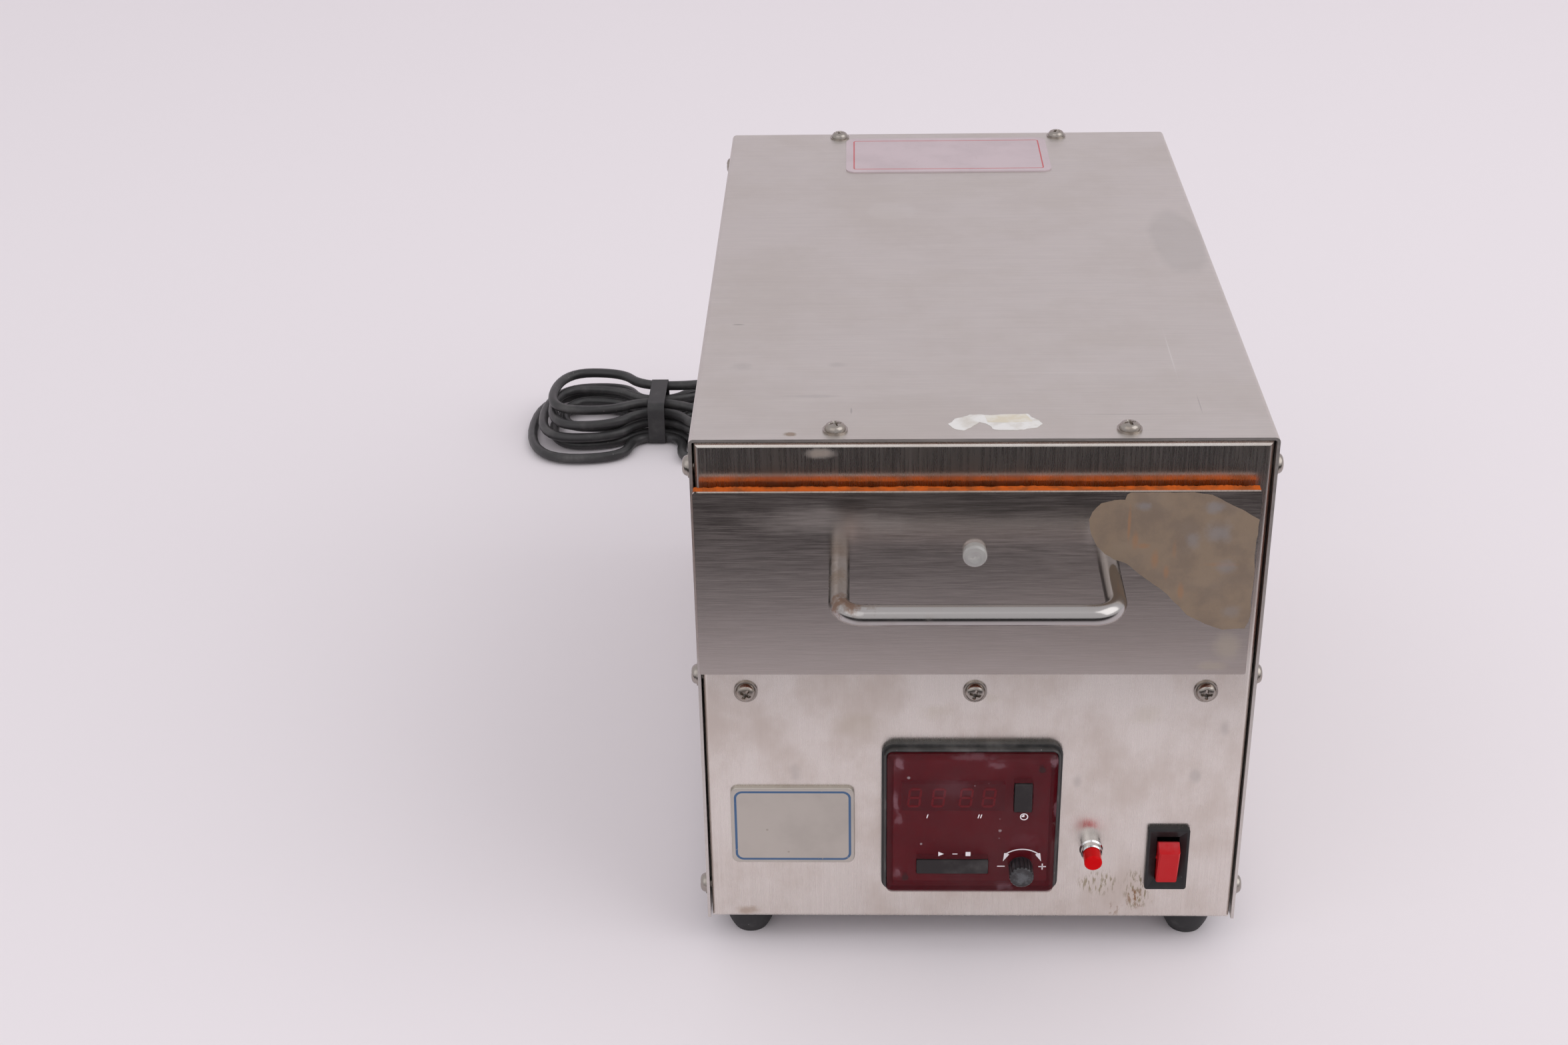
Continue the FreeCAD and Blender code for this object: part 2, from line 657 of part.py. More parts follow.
def make_drawer_tray():
    """The tray: a folded pan with a tall front wall that backs the door plate."""
    low = BASE_Z + TRAY_RISE
    y = (DOOR_BACK_Y, TRAY_BACK_Y)
    x = (-TRAY_HALF, TRAY_HALF)
    outer = slab(x, y, (low, low + TRAY_FRONT_HEIGHT))
    outer = outer.makeFillet(TRAY_BEND, edges_at(outer, 2, low))
    inner_y = (y[0] + TRAY_SHEET, y[1] - TRAY_SHEET)
    inner = slab((x[0] + TRAY_SHEET, x[1] - TRAY_SHEET), inner_y, (low + TRAY_SHEET, low + 100))
    inner = inner.makeFillet(TRAY_BEND - TRAY_SHEET, edges_at(inner, 2, low + TRAY_SHEET))
    tray = outer.cut(inner)
    above = slab((x[0] - 1, x[1] + 1), (inner_y[0], y[1] + 1), (low + TRAY_WALL_HEIGHT, low + 100))
    cuts = [above]
    z = BASE_Z + HANDLE_RISE
    for leg_x in handle_leg_places():
        cuts.append(rod(SCREW_HOLE_RADIUS, (leg_x, y[0] - 1, z), (leg_x, y[0] + 3, z)))
    view_z = BASE_Z + VIEW_RISE
    cuts.append(rod(VIEW_SHANK_RADIUS + FIT_GAP, (DOOR_X, y[0] - 1, view_z), (DOOR_X, y[0] + 3, view_z)))
    return tray.cut(cuts)


DOOR_X = PANEL_OFFSET + DOOR_OFFSET
DOOR_WIDTH = 2 * (OPENING_HALF + DOOR_SIDE_OVERLAP)


def handle_leg_places():
    """The X of the two handle legs."""
    return (DOOR_X - HANDLE_SPREAD / 2, DOOR_X + HANDLE_SPREAD / 2)


def door_centre():
    """The middle of the door as (x, z)."""
    return (DOOR_X, DOOR_LOW_Z + DOOR_HEIGHT / 2)


def make_door_plate():
    """The door plate, with holes for the handle screws and the viewing button."""
    y = (DOOR_FRONT_Y, DOOR_BACK_Y)
    plate = rounded_plate(DOOR_WIDTH, DOOR_HEIGHT, DOOR_CORNER, y, door_centre())
    z = BASE_Z + HANDLE_RISE
    cuts = []
    for x in handle_leg_places():
        cuts.append(rod(SCREW_HOLE_RADIUS, (x, y[0] - 1, z), (x, y[1] + 1, z)))
    view_z = BASE_Z + VIEW_RISE
    cuts.append(rod(VIEW_SHANK_RADIUS + FIT_GAP, (DOOR_X, y[0] - 1, view_z), (DOOR_X, y[1] + 1, view_z)))
    return plate.cut(cuts)


def make_door_gasket():
    """The sponge gasket: a frame as large as the plate, with a window round the tray."""
    y = (DOOR_BACK_Y, DOOR_BACK_Y + GASKET_THICKNESS)
    frame = rounded_plate(DOOR_WIDTH, DOOR_HEIGHT, DOOR_CORNER, y, door_centre())
    low = BASE_Z + OPENING_RISE
    window = rounded_plate(2 * OPENING_HALF, OPENING_HEIGHT, OPENING_CORNER, (y[0] - 1, y[1] + 1),
                           (0, low + OPENING_HEIGHT / 2))
    return frame.cut(window)


def make_handle():
    """The handle: a round bar bent twice, with tapped legs."""
    z = BASE_Z + HANDLE_RISE
    left, right = handle_leg_places()
    bar_y = HANDLE_FRONT_Y + HANDLE_DIAMETER / 2
    base_y = DOOR_FRONT_Y
    r = HANDLE_BEND
    diagonal = r * (1 - math.sqrt(0.5))
    edges = [
        Part.makeLine(Vector(left, base_y, z), Vector(left, bar_y + r, z)),
        Part.Arc(Vector(left, bar_y + r, z), Vector(left + diagonal, bar_y + diagonal, z),
                 Vector(left + r, bar_y, z)).toShape(),
        Part.makeLine(Vector(left + r, bar_y, z), Vector(right - r, bar_y, z)),
        Part.Arc(Vector(right - r, bar_y, z), Vector(right - diagonal, bar_y + diagonal, z),
                 Vector(right, bar_y + r, z)).toShape(),
        Part.makeLine(Vector(right, bar_y + r, z), Vector(right, base_y, z)),
    ]
    section = Part.Wire(Part.makeCircle(HANDLE_DIAMETER / 2, Vector(left, base_y, z), Vector(0, -1, 0)))
    bar = Part.Wire(edges).makePipeShell([section], True, False)
    depth = HANDLE_SCREW_LENGTH
    for x in (left, right):
        bar = bar.cut(rod(SCREW_RADIUS + FIT_GAP, (x, base_y + 1, z), (x, base_y - depth, z)))
    return bar


def make_handle_screws():
    """The two screws that hold the handle from inside the tray."""
    z = BASE_Z + HANDLE_RISE
    seat_y = DOOR_BACK_Y + TRAY_SHEET
    screw = pan_screw(HANDLE_SCREW_LENGTH, HANDLE_HEAD_RADIUS, HEAD_HEIGHT)
    return Part.makeCompound([placed(screw, (x, seat_y, z), (0, 1, 0)) for x in handle_leg_places()])


def make_view_port():
    """The clear viewing button: a domed head with a dimple and a shank into the chamber."""
    head = VIEW_REACH
    profile = [(0, -DOOR_THICKNESS - TRAY_SHEET - 2.0)]
    profile += [(VIEW_SHANK_RADIUS, -DOOR_THICKNESS - TRAY_SHEET - 2.0), (VIEW_SHANK_RADIUS, 0)]
    profile += [(VIEW_RADIUS, 0), (VIEW_RADIUS, head * 0.7), (VIEW_RADIUS * 0.86, head * 0.94)]
    profile += [(VIEW_RADIUS * 0.55, head), (VIEW_RADIUS * 0.3, head - VIEW_DIMPLE * 0.6)]
    profile += [(0, head - VIEW_DIMPLE)]
    return lathe(profile, (DOOR_X, DOOR_FRONT_Y, BASE_Z + VIEW_RISE), (0, -1, 0))


LAMP_Z = LINER_TOP_Z - LINER_SHEET - LAMP_DROP


def lamp_path():
    """The lamp's centre line: straight runs across the chamber joined by half turns."""
    half = LAMP_RUN_LENGTH / 2
    radius = LAMP_PITCH / 2
    edges = []
    for run in range(LAMP_RUNS):
        y = LAMP_FRONT + run * LAMP_PITCH
        side = 1 if run % 2 == 0 else -1
        start = Vector(-side * half, y, LAMP_Z)
        end = Vector(side * half, y, LAMP_Z)
        if run in (0, LAMP_RUNS - 1):
            outer = LAMP_LEG
            if run == 0:
                start = start - Vector(side * outer, 0, 0)
            else:
                end = end + Vector(side * outer, 0, 0)
        edges.append(Part.makeLine(start, end))
        if run < LAMP_RUNS - 1:
            middle = Vector(end.x + side * radius, y + radius, LAMP_Z)
            edges.append(Part.Arc(end, middle, Vector(end.x, y + LAMP_PITCH, LAMP_Z)).toShape())
    return Part.Wire(edges)


def lamp_ends():
    """The two ends of the lamp's tube; both are on the left."""
    half = LAMP_RUN_LENGTH / 2 + LAMP_LEG
    last_y = LAMP_FRONT + (LAMP_RUNS - 1) * LAMP_PITCH
    return (Vector(-half, LAMP_FRONT, LAMP_Z), Vector(-half, last_y, LAMP_Z))


def make_uv_lamp():
    """The quartz grid lamp."""
    path = lamp_path()
    start = path.OrderedVertexes[0].Point
    section = Part.Wire(Part.makeCircle(LAMP_TUBE_RADIUS, start, Vector(1, 0, 0)))
    return path.makePipeShell([section], True, False)


def make_lamp_sockets():
    """The ceramic sockets that hold both ends of the lamp under the reflector."""
    sockets = []
    roof = LINER_TOP_Z - LINER_SHEET - REFLECTOR_SHEET
    for end in lamp_ends():
        width, depth, _ = SOCKET_SIZE
        block = slab((end.x - width, end.x), (end.y - depth / 2, end.y + depth / 2),
                     (end.z - LAMP_TUBE_RADIUS - 3.0, roof))
        block = block.makeFillet(1.5, edges_at(block, 2, end.z - LAMP_TUBE_RADIUS - 3.0))
        sockets.append(block)
    return Part.makeCompound(sockets)


def make_lamp_reflector():
    """The reflector: a shallow folded pan over the lamp."""
    half = LINER_HALF - LINER_SHEET - 1.5
    y = (LAMP_FRONT - REFLECTOR_MARGIN, LAMP_FRONT + (LAMP_RUNS - 1) * LAMP_PITCH + REFLECTOR_MARGIN)
    top = LINER_TOP_Z - LINER_SHEET
    return folded_pan((-half, half), y, (top - REFLECTOR_RIM, top), 2, 1,
                      REFLECTOR_SHEET, REFLECTOR_SHEET * 2, REFLECTOR_SHEET * 2.5)


def make_lamp_clips():
    """The clips that hang the lamp from the reflector at its half turns."""
    clips = []
    roof = LINER_TOP_Z - LINER_SHEET - REFLECTOR_SHEET
    inner = LAMP_TUBE_RADIUS + 0.3
    for run in (0, 2, 3, LAMP_RUNS - 1):
        y = LAMP_FRONT + run * LAMP_PITCH
        for x in (-LAMP_RUN_LENGTH / 3, LAMP_RUN_LENGTH / 3):
            start, end = (x - CLIP_WIDTH / 2, y, LAMP_Z), (x + CLIP_WIDTH / 2, y, LAMP_Z)
            ring = tube_between(inner + CLIP_WALL, inner, start, end)
            gap = slab((x - CLIP_WIDTH, x + CLIP_WIDTH), (y - inner * 0.6, y + inner * 0.6),
                       (LAMP_Z - inner - CLIP_WALL * 2, LAMP_Z - inner * 0.5))
            stem = slab((x - CLIP_WIDTH / 2, x + CLIP_WIDTH / 2), (y - CLIP_WALL, y + CLIP_WALL),
                        (LAMP_Z + inner + CLIP_WALL / 2, roof))
            clips.append(ring.cut(gap).fuse(stem).removeSplitter())
    return Part.makeCompound(clips)


def make_timer_bezel():
    """The timer's front frame: a flange on the panel and a stepped rim round the window."""
    centre = (TIMER_X, TIMER_Z)
    face = PANEL_FACE_Y
    flange = rounded_plate(TIMER_SIZE, TIMER_SIZE, BEZEL_CORNER, (face - BEZEL_STEP, face), centre)
    lip = TIMER_SIZE - 2.0
    rim = rounded_plate(lip, lip, BEZEL_CORNER - 1.0, (face - BEZEL_REACH, face - BEZEL_STEP), centre)
    front = edges_at(rim, 1, face - BEZEL_REACH)
    rim = rim.makeFillet(0.8, front)
    opening = TIMER_SIZE - 2 * BEZEL_WALL
    hole = rounded_plate(opening, opening, WINDOW_CORNER, (face - 20, face + 1), centre)
    return flange.fuse(rim).cut(hole).removeSplitter()


def make_timer_window():
    """The red cover: a shallow dish with bevelled edges, cut for the keys and the knob's shaft."""
    centre = (TIMER_X, TIMER_Z)
    face = PANEL_FACE_Y
    size = TIMER_SIZE - 2 * BEZEL_WALL - 2 * FIT_GAP
    front = face - WINDOW_REACH
    back = face - BEZEL_REACH + WINDOW_RIM - WINDOW_THICKNESS
    dish = rounded_plate(size, size, WINDOW_CORNER, (front, back), centre)
    dish = dish.makeChamfer(WINDOW_CHAMFER, edges_at(dish, 1, front))
    inside = size - 2 * WINDOW_THICKNESS
    hollow = rounded_plate(inside, inside, 1.0, (front + WINDOW_THICKNESS, back + 1), centre)
    cuts = [hollow]
    for size_pair, at in ((CLOCK_KEY_SIZE, CLOCK_KEY_AT), (START_KEY_SIZE, START_KEY_AT)):
        hole = rounded_plate(size_pair[0] + 2 * KEY_CLEARANCE, size_pair[1] + 2 * KEY_CLEARANCE, 0.6,
                             (front - 1, back), (TIMER_X + at[0], TIMER_Z + at[1]))
        cuts.append(hole)
    x, z = TIMER_X + KNOB_AT[0], TIMER_Z + KNOB_AT[1]
    cuts.append(rod(KNOB_SHAFT_RADIUS + KEY_CLEARANCE, (x, front - 1, z), (x, back, z)))
    return dish.cut(cuts)


FACE_FRONT_Y = PANEL_FACE_Y - BEZEL_REACH + WINDOW_RIM - WINDOW_THICKNESS
DISPLAY_FRONT_Y = FACE_FRONT_Y - DISPLAY_DEPTH


def make_timer_face():
    """The dark face plate behind the window."""
    size = TIMER_SIZE - 2 * BEZEL_WALL - 2 * FIT_GAP
    y = (FACE_FRONT_Y, FACE_FRONT_Y + FACE_THICKNESS)
    return rounded_plate(size, size, WINDOW_CORNER, y, (TIMER_X, TIMER_Z))


def make_timer_display():
    """The display block on the face plate."""
    x, z = TIMER_X + DISPLAY_AT[0], TIMER_Z + DISPLAY_AT[1]
    return rounded_plate(*DISPLAY_SIZE, 0.4, (DISPLAY_FRONT_Y, FACE_FRONT_Y), (x, z))


def segment(x, z, length, upright, y):
    """One bar of a digit: a flat hexagon, lying or upright."""
    half = length / 2
    s = DIGIT_STROKE / 2
    outline = [(-half, 0), (-half + s, s), (half - s, s), (half, 0), (half - s, -s), (-half + s, -s)]
    if upright:
        outline = [(b, a) for a, b in outline]
    middle_z = TIMER_Z + DISPLAY_AT[1]
    points = []
    for dx, dz in outline:
        lean = (z + dz - middle_z) * DIGIT_LEAN
        points.append(Vector(x + dx + lean, y, z + dz))
    face = Part.Face(Part.makePolygon(points + points[:1]))
    return face.extrude(Vector(0, -DIGIT_DEPTH, 0))


def make_timer_digits():
    """Four seven-bar digits, each bar a solid of its own."""
    bars = []
    gap = 0.15
    wide = DIGIT_WIDTH - DIGIT_STROKE - 2 * gap
    tall = (DIGIT_HEIGHT - DIGIT_STROKE) / 2 - 2 * gap
    middle_z = TIMER_Z + DISPLAY_AT[1]
    for offset in DIGIT_CENTRES:
        x = TIMER_X + DISPLAY_AT[0] + offset
        reach_x = (DIGIT_WIDTH - DIGIT_STROKE) / 2
        reach_z = (DIGIT_HEIGHT - DIGIT_STROKE) / 2
        for level in (-1, 0, 1):
            bars.append(segment(x, middle_z + level * reach_z, wide, False, DISPLAY_FRONT_Y))
        for side in (-1, 1):
            for level in (-0.5, 0.5):
                bars.append(segment(x + side * reach_x, middle_z + level * reach_z, tall, True,
                                    DISPLAY_FRONT_Y))
    return Part.makeCompound(bars)


def make_timer_housing():
    """The timer's case behind the panel, with its row of terminals at the back."""
    size = TIMER_CUTOUT - 2 * FIT_GAP
    front = FACE_FRONT_Y + FACE_THICKNESS
    y = (front, front + TIMER_DEPTH)
    body = rounded_plate(size - 2, size - 2, 1.5, y, (TIMER_X, TIMER_Z))
    ledge = slab((TIMER_X - size / 3, TIMER_X + size / 3), (y[1] - 12, y[1] + 1),
                 (TIMER_Z + size / 2 - 14, TIMER_Z + size / 2 + 1))
    return body.cut(ledge)


def make_timer_clamp():
    """The frame that clamps the timer against the back of the panel."""
    y = (PANEL_FACE_Y + SHEET, PANEL_FACE_Y + SHEET + 9.0)
    size = TIMER_CUTOUT
    ring = rounded_plate(size + 3, size + 3, 2.0, y, (TIMER_X, TIMER_Z))
    hole = rounded_plate(size - 1.6, size - 1.6, 1.2, (y[0] - 1, y[1] + 1), (TIMER_X, TIMER_Z))
    return ring.cut(hole)


def make_key(size, at):
    """A timer key that passes through the window and stands a little proud of it."""
    front = PANEL_FACE_Y - WINDOW_REACH - KEY_REACH
    key = rounded_plate(*size, 0.5, (front, front + KEY_THICKNESS), (TIMER_X + at[0], TIMER_Z + at[1]))
    return key.makeFillet(0.35, edges_at(key, 1, front))


def make_timer_knob():
    """The ribbed knob and the shaft that carries it through the window."""
    x, z = TIMER_X + KNOB_AT[0], TIMER_Z + KNOB_AT[1]
    base_y = PANEL_FACE_Y - WINDOW_REACH - 0.3
    knob = Part.makeCylinder(KNOB_RADIUS, KNOB_LENGTH, Vector(x, base_y, z), Vector(0, -1, 0))
    knob = knob.makeChamfer(0.5, edges_at(knob, 1, base_y - KNOB_LENGTH))
    flutes = []
    for step in range(KNOB_FLUTES):
        angle = 2 * math.pi * step / KNOB_FLUTES
        fx, fz = x + KNOB_RADIUS * math.cos(angle), z + KNOB_RADIUS * math.sin(angle)
        flutes.append(rod(0.38, (fx, base_y - 0.8, fz), (fx, base_y - KNOB_LENGTH - 1, fz)))
    shaft = rod(KNOB_SHAFT_RADIUS, (x, base_y, z), (x, base_y + KNOB_SHAFT_LENGTH, z))
    return knob.cut(flutes).fuse(shaft)


def make_pilot_ring():
    """The chromed ring of the pilot lamp, with a flange on the panel."""
    face = PANEL_FACE_Y
    bore = PILOT_LENS_RADIUS + FIT_GAP
    profile = [(bore, 0), (LAMP_RING_RADIUS, 0), (LAMP_RING_RADIUS, PILOT_RING_LIP)]
    profile += [(LAMP_RING_RADIUS - 0.5, PILOT_RING_LIP + 0.6)]
    profile += [(LAMP_RING_RADIUS - 0.5, PILOT_RING_REACH - 0.6), (LAMP_RING_RADIUS - 0.9, PILOT_RING_REACH)]
    profile += [(bore, PILOT_RING_REACH)]
    return lathe(profile, (PILOT_X, face, PILOT_Z), (0, -1, 0))


def make_pilot_lens():
    """The red lens of the pilot lamp, a plain round peg with an eased front edge."""
    reach = PILOT_LENS_REACH
    r = PILOT_LENS_RADIUS
    profile = [(0, 0), (r, 0), (r, reach - 0.6), (r - 0.6, reach), (0, reach)]
    return lathe(profile, (PILOT_X, PANEL_FACE_Y, PILOT_Z), (0, -1, 0))


def make_pilot_body():
    """The lamp's body behind the panel, with the nut that holds it."""
    y = PANEL_FACE_Y
    body = rod(PILOT_BODY_RADIUS, (PILOT_X, y, PILOT_Z), (PILOT_X, y + PILOT_BODY_LENGTH, PILOT_Z))
    nut_y = y + SHEET
    corners = []
    for step in range(6):
        angle = math.radians(60 * step)
        corners.append(Vector(PILOT_X + PILOT_NUT_RADIUS * math.cos(angle), nut_y,
                              PILOT_Z + PILOT_NUT_RADIUS * math.sin(angle)))
    nut = Part.Face(Part.makePolygon(corners + corners[:1])).extrude(Vector(0, PILOT_NUT_THICKNESS, 0))
    return body.fuse(nut)


def make_power_rocker():
    """The rocker: a flat-faced see-saw cap on two trunnions, at rest with its upper end out."""
    reach, half = ROCKER_FACE_REACH, ROCKER_FACE_HALF
    outline = [(reach, half), ROCKER_SHOULDER, ROCKER_HEEL]
    lower = [(out, -up) for out, up in reversed(outline)]
    points = [Vector(-ROCKER_WIDTH / 2, -out, up) for out, up in outline + lower]
    cap = Part.Face(Part.makePolygon(points + points[:1])).extrude(Vector(ROCKER_WIDTH, 0, 0))
    face_edges = [e for e in edges_at(cap, 1, -reach) if along(e, 2)]
    cap = cap.makeChamfer(ROCKER_EDGE, face_edges)
    pin_half = ROCKER_WIDTH / 2 + TRUNNION_LENGTH
    cap = cap.fuse(rod(TRUNNION_RADIUS, (-pin_half, 0, 0), (pin_half, 0, 0)))
    cap.rotate(Vector(0, 0, 0), Vector(1, 0, 0), ROCKER_TILT)
    cap.translate(Vector(SWITCH_X, PANEL_FACE_Y, SWITCH_Z))
    return cap


def rectangle_ring(width, height, y, centre):
    """A rectangular wire that faces the front."""
    x0, x1 = centre[0] - width / 2, centre[0] + width / 2
    z0, z1 = centre[1] - height / 2, centre[1] + height / 2
    corners = [Vector(x0, y, z0), Vector(x1, y, z0), Vector(x1, y, z1), Vector(x0, y, z1)]
    return Part.makePolygon(corners + corners[:1])


def make_switch_body():
    """The switch's black frame and body, hollow round the rocker."""
    face = PANEL_FACE_Y
    centre = (SWITCH_X, SWITCH_Z)
    front = face - SWITCH_REACH
    frame = rounded_plate(SWITCH_WIDTH, SWITCH_HEIGHT, SWITCH_CORNER, (front, face), centre)
    frame = frame.makeFillet(0.5, edges_at(frame, 1, front))
    width, height, depth = SWITCH_BODY
    body = centred_slab((width, depth, height), (SWITCH_X, face + depth / 2, SWITCH_Z))
    whole = frame.fuse(body)
    well_width = ROCKER_WIDTH + 2 * ROCKER_CLEARANCE
    well_height = 2 * (math.hypot(*ROCKER_SHOULDER) + ROCKER_CLEARANCE)
    well_depth = SWITCH_WELL + SWITCH_REACH
    well = centred_slab((well_width, well_depth, well_height), (SWITCH_X, front + well_depth / 2, SWITCH_Z))
    half = ROCKER_WIDTH / 2 + TRUNNION_LENGTH + ROCKER_CLEARANCE
    bore = rod(TRUNNION_RADIUS + TRUNNION_CLEARANCE, (SWITCH_X - half, face, SWITCH_Z),
               (SWITCH_X + half, face, SWITCH_Z))
    rim = rectangle_ring(SWITCH_WIDTH - 2 * SWITCH_RIM, SWITCH_HEIGHT - 2 * SWITCH_RIM, front - 0.01, centre)
    mouth = Part.makeLoft([rim, rectangle_ring(well_width, well_height, front + SWITCH_SLOPE, centre)],
                          True, True)
    return whole.cut([well, bore, mouth]).removeSplitter()


def make_nameplate():
    """The bare plate at the left of the timer."""
    y = (PANEL_FACE_Y - NAMEPLATE_THICKNESS, PANEL_FACE_Y)
    centre = (NAMEPLATE_X, BASE_Z + NAMEPLATE_RISE)
    plate = rounded_plate(NAMEPLATE_WIDTH, NAMEPLATE_HEIGHT, NAMEPLATE_CORNER, y, centre)
    return plate.makeFillet(0.5, edges_at(plate, 1, y[0]))


def make_top_plate():
    """The bare plate on top of the cover at the back."""
    back = CASE_DEPTH - TOP_PLATE_FROM_BACK
    x = (TOP_PLATE_OFFSET - TOP_PLATE_WIDTH / 2, TOP_PLATE_OFFSET + TOP_PLATE_WIDTH / 2)
    plate = slab(x, (back - TOP_PLATE_DEPTH, back), (COVER_TOP_Z, COVER_TOP_Z + TOP_PLATE_THICKNESS))
    return plate.makeFillet(TOP_PLATE_CORNER, [e for e in plate.Edges if along(e, 2)])


def foot_places():
    """The middles of the four feet as (x, y)."""
    x = HALF_WIDTH - FOOT_INSET_X
    return [(-x, FOOT_INSET_Y), (x, FOOT_INSET_Y), (-x, CASE_DEPTH - FOOT_INSET_Y),
            (x, CASE_DEPTH - FOOT_INSET_Y)]


def make_foot(place):
    """A domed rubber foot with a recess for its screw."""
    r = FOOT_RADIUS
    h = FOOT_HEIGHT
    tip = FOOT_TIP_RADIUS
    curve = Part.Arc(Vector(tip, 0, 0), Vector(r * 0.87, 0, h * 0.3), Vector(r, 0, h * 0.72)).toShape()
    ledge = FOOT_BORE_DEPTH
    corners = [Vector(r, 0, h * 0.72), Vector(r, 0, h), Vector(SCREW_HOLE_RADIUS, 0, h),
               Vector(SCREW_HOLE_RADIUS, 0, ledge), Vector(FOOT_BORE_RADIUS, 0, ledge),
               Vector(FOOT_BORE_RADIUS, 0, 0), Vector(tip, 0, 0)]
    wire = Part.Wire([curve] + Part.makePolygon(corners).Edges)
    foot = Part.Face(wire).revolve(Vector(0, 0, 0), Vector(0, 0, 1), 360)
    foot.translate(Vector(place[0], place[1], 0))
    return foot


def make_foot_screws():
    """The screws that hold the feet, heads down in their recesses."""
    length = FOOT_HEIGHT - FOOT_BORE_DEPTH + 4.0
    screw = pan_screw(length, HEAD_RADIUS, HEAD_HEIGHT)
    return Part.makeCompound([placed(screw, (x, y, FOOT_BORE_DEPTH), (0, 0, -1)) for x, y in foot_places()])


def make_exhaust_port():
    """The exhaust spigot: a tube from the chamber's back wall through the back panel."""
    x, z = EXHAUST_AT[0], BASE_Z + EXHAUST_AT[1]
    tube = rod(EXHAUST_RADIUS, (x, LINER_BACK_Y, z), (x, EXHAUST_END_Y, z))
    flange_y = BACK_FACE_Y + EXHAUST_FLANGE_THICKNESS
    flange = rod(EXHAUST_FLANGE_RADIUS, (x, BACK_FACE_Y, z), (x, flange_y, z))
    bore = rod(EXHAUST_RADIUS - EXHAUST_WALL, (x, LINER_BACK_Y - 1, z), (x, EXHAUST_END_Y + 1, z))
    return tube.fuse(flange).cut(bore)


def make_fuse_holder():
    """The fuse holder on the back panel, bored for the stem of its cap."""
    x, z = FUSE_AT[0], BASE_Z + FUSE_AT[1]
    y = BACK_FACE_Y
    front = y + FUSE_FLANGE_THICKNESS
    body = rod(FUSE_RADIUS, (x, y - FUSE_LENGTH, z), (x, y, z))
    flange = rod(FUSE_FLANGE_RADIUS, (x, y, z), (x, front, z))
    bore = rod(FUSE_STEM_RADIUS + FUSE_STEM_CLEARANCE, (x, front - FUSE_STEM_LENGTH - 1, z), (x, front + 1, z))
    return body.fuse(flange).cut(bore)


def make_fuse_cap():
    """The bayonet cap of the fuse holder, with a screwdriver slot and a ribbed rim."""
    x, z = FUSE_AT[0], BASE_Z + FUSE_AT[1]
    low = BACK_FACE_Y + FUSE_FLANGE_THICKNESS + FUSE_CAP_GAP
    high = low + FUSE_CAP_LENGTH
    cap = rod(FUSE_CAP_RADIUS, (x, low, z), (x, high, z))
    cap = cap.makeFillet(0.6, edges_at(cap, 1, high))
    stem = rod(FUSE_STEM_RADIUS, (x, low - FUSE_STEM_LENGTH, z), (x, low, z))
    cuts = [centred_slab((2 * FUSE_CAP_RADIUS, 2.4, 1.2), (x, high, z))]
    for step in range(12):
        angle = 2 * math.pi * step / 12
        fx, fz = x + FUSE_CAP_RADIUS * math.cos(angle), z + FUSE_CAP_RADIUS * math.sin(angle)
        cuts.append(rod(0.5, (fx, low + 1.5, fz), (fx, high + 1, fz)))
    return cap.fuse(stem).cut(cuts)


def make_strain_relief():
    """The tapered strain relief that the cord leaves the back panel through."""
    length = RELIEF_LENGTH
    flange = RELIEF_FLANGE_THICKNESS
    profile = [(0, -RELIEF_TAIL), (RELIEF_RADIUS, -RELIEF_TAIL), (RELIEF_RADIUS, 0)]
    profile += [(RELIEF_FLANGE_RADIUS, 0), (RELIEF_FLANGE_RADIUS, flange)]
    steps = 4
    top_radius = RELIEF_RADIUS
    for rib in range(steps):
        low = flange + (length - flange) * rib / steps
        high = flange + (length - flange) * (rib + 0.62) / steps
        outer = top_radius + (RELIEF_TIP_RADIUS - top_radius) * rib / steps
        neck = outer - 0.8
        profile += [(outer, low), (outer - 0.2, high), (neck, high), (neck, low + (length - flange) / steps)]
    profile += [(0, length)]
    return lathe(profile, (RELIEF_AT[0], BACK_FACE_Y, BASE_Z + RELIEF_AT[1]), (0, 1, 0))


def make_interlock_switch():
    """The interlock's switch block behind the liner's back wall, bored for its plunger."""
    x, z = INTERLOCK_AT[0], BASE_Z + INTERLOCK_AT[1]
    width, depth, height = INTERLOCK_SIZE
    y = (LINER_BACK_Y, LINER_BACK_Y + depth)
    block = slab((x - width / 2, x + width / 2), y, (z - height / 2, z + height / 2))
    bore = PLUNGER_RADIUS + PLUNGER_CLEARANCE
    return block.cut(rod(bore, (x, y[0] - 1, z), (x, y[0] + depth * 0.75, z)))


def make_interlock_plunger():
    """The plunger, which ends just behind the tray when the drawer is home."""
    x, z = INTERLOCK_AT[0], BASE_Z + INTERLOCK_AT[1]
    tip = TRAY_BACK_Y + DOOR_GAP - 0.3 + PLUNGER_GAP
    back = LINER_BACK_Y + INTERLOCK_SIZE[1] * 0.75 - PLUNGER_TRAVEL - 0.5
    pin = rod(PLUNGER_RADIUS, (x, tip, z), (x, back, z))
    return pin.makeFillet(PLUNGER_RADIUS * 0.6, edges_at(pin, 1, tip)[:1])


def make_transformer_core():
    """The lamp transformer's laminated core with its two windows."""
    width, depth, height = CORE_SIZE
    x, y = CORE_AT
    z = BASE_Z + SHEET + STRAP_SHEET
    core = slab((x - width / 2, x + width / 2), (y - depth / 2, y + depth / 2), (z, z + height))
    window_width, window_height = CORE_WINDOW
    cuts = []
    for side in (-1, 1):
        middle = x + side * (CORE_LEG / 2 + window_width / 2)
        cuts.append(centred_slab((window_width, depth + 2, window_height), (middle, y, z + height / 2)))
    return core.cut(cuts)


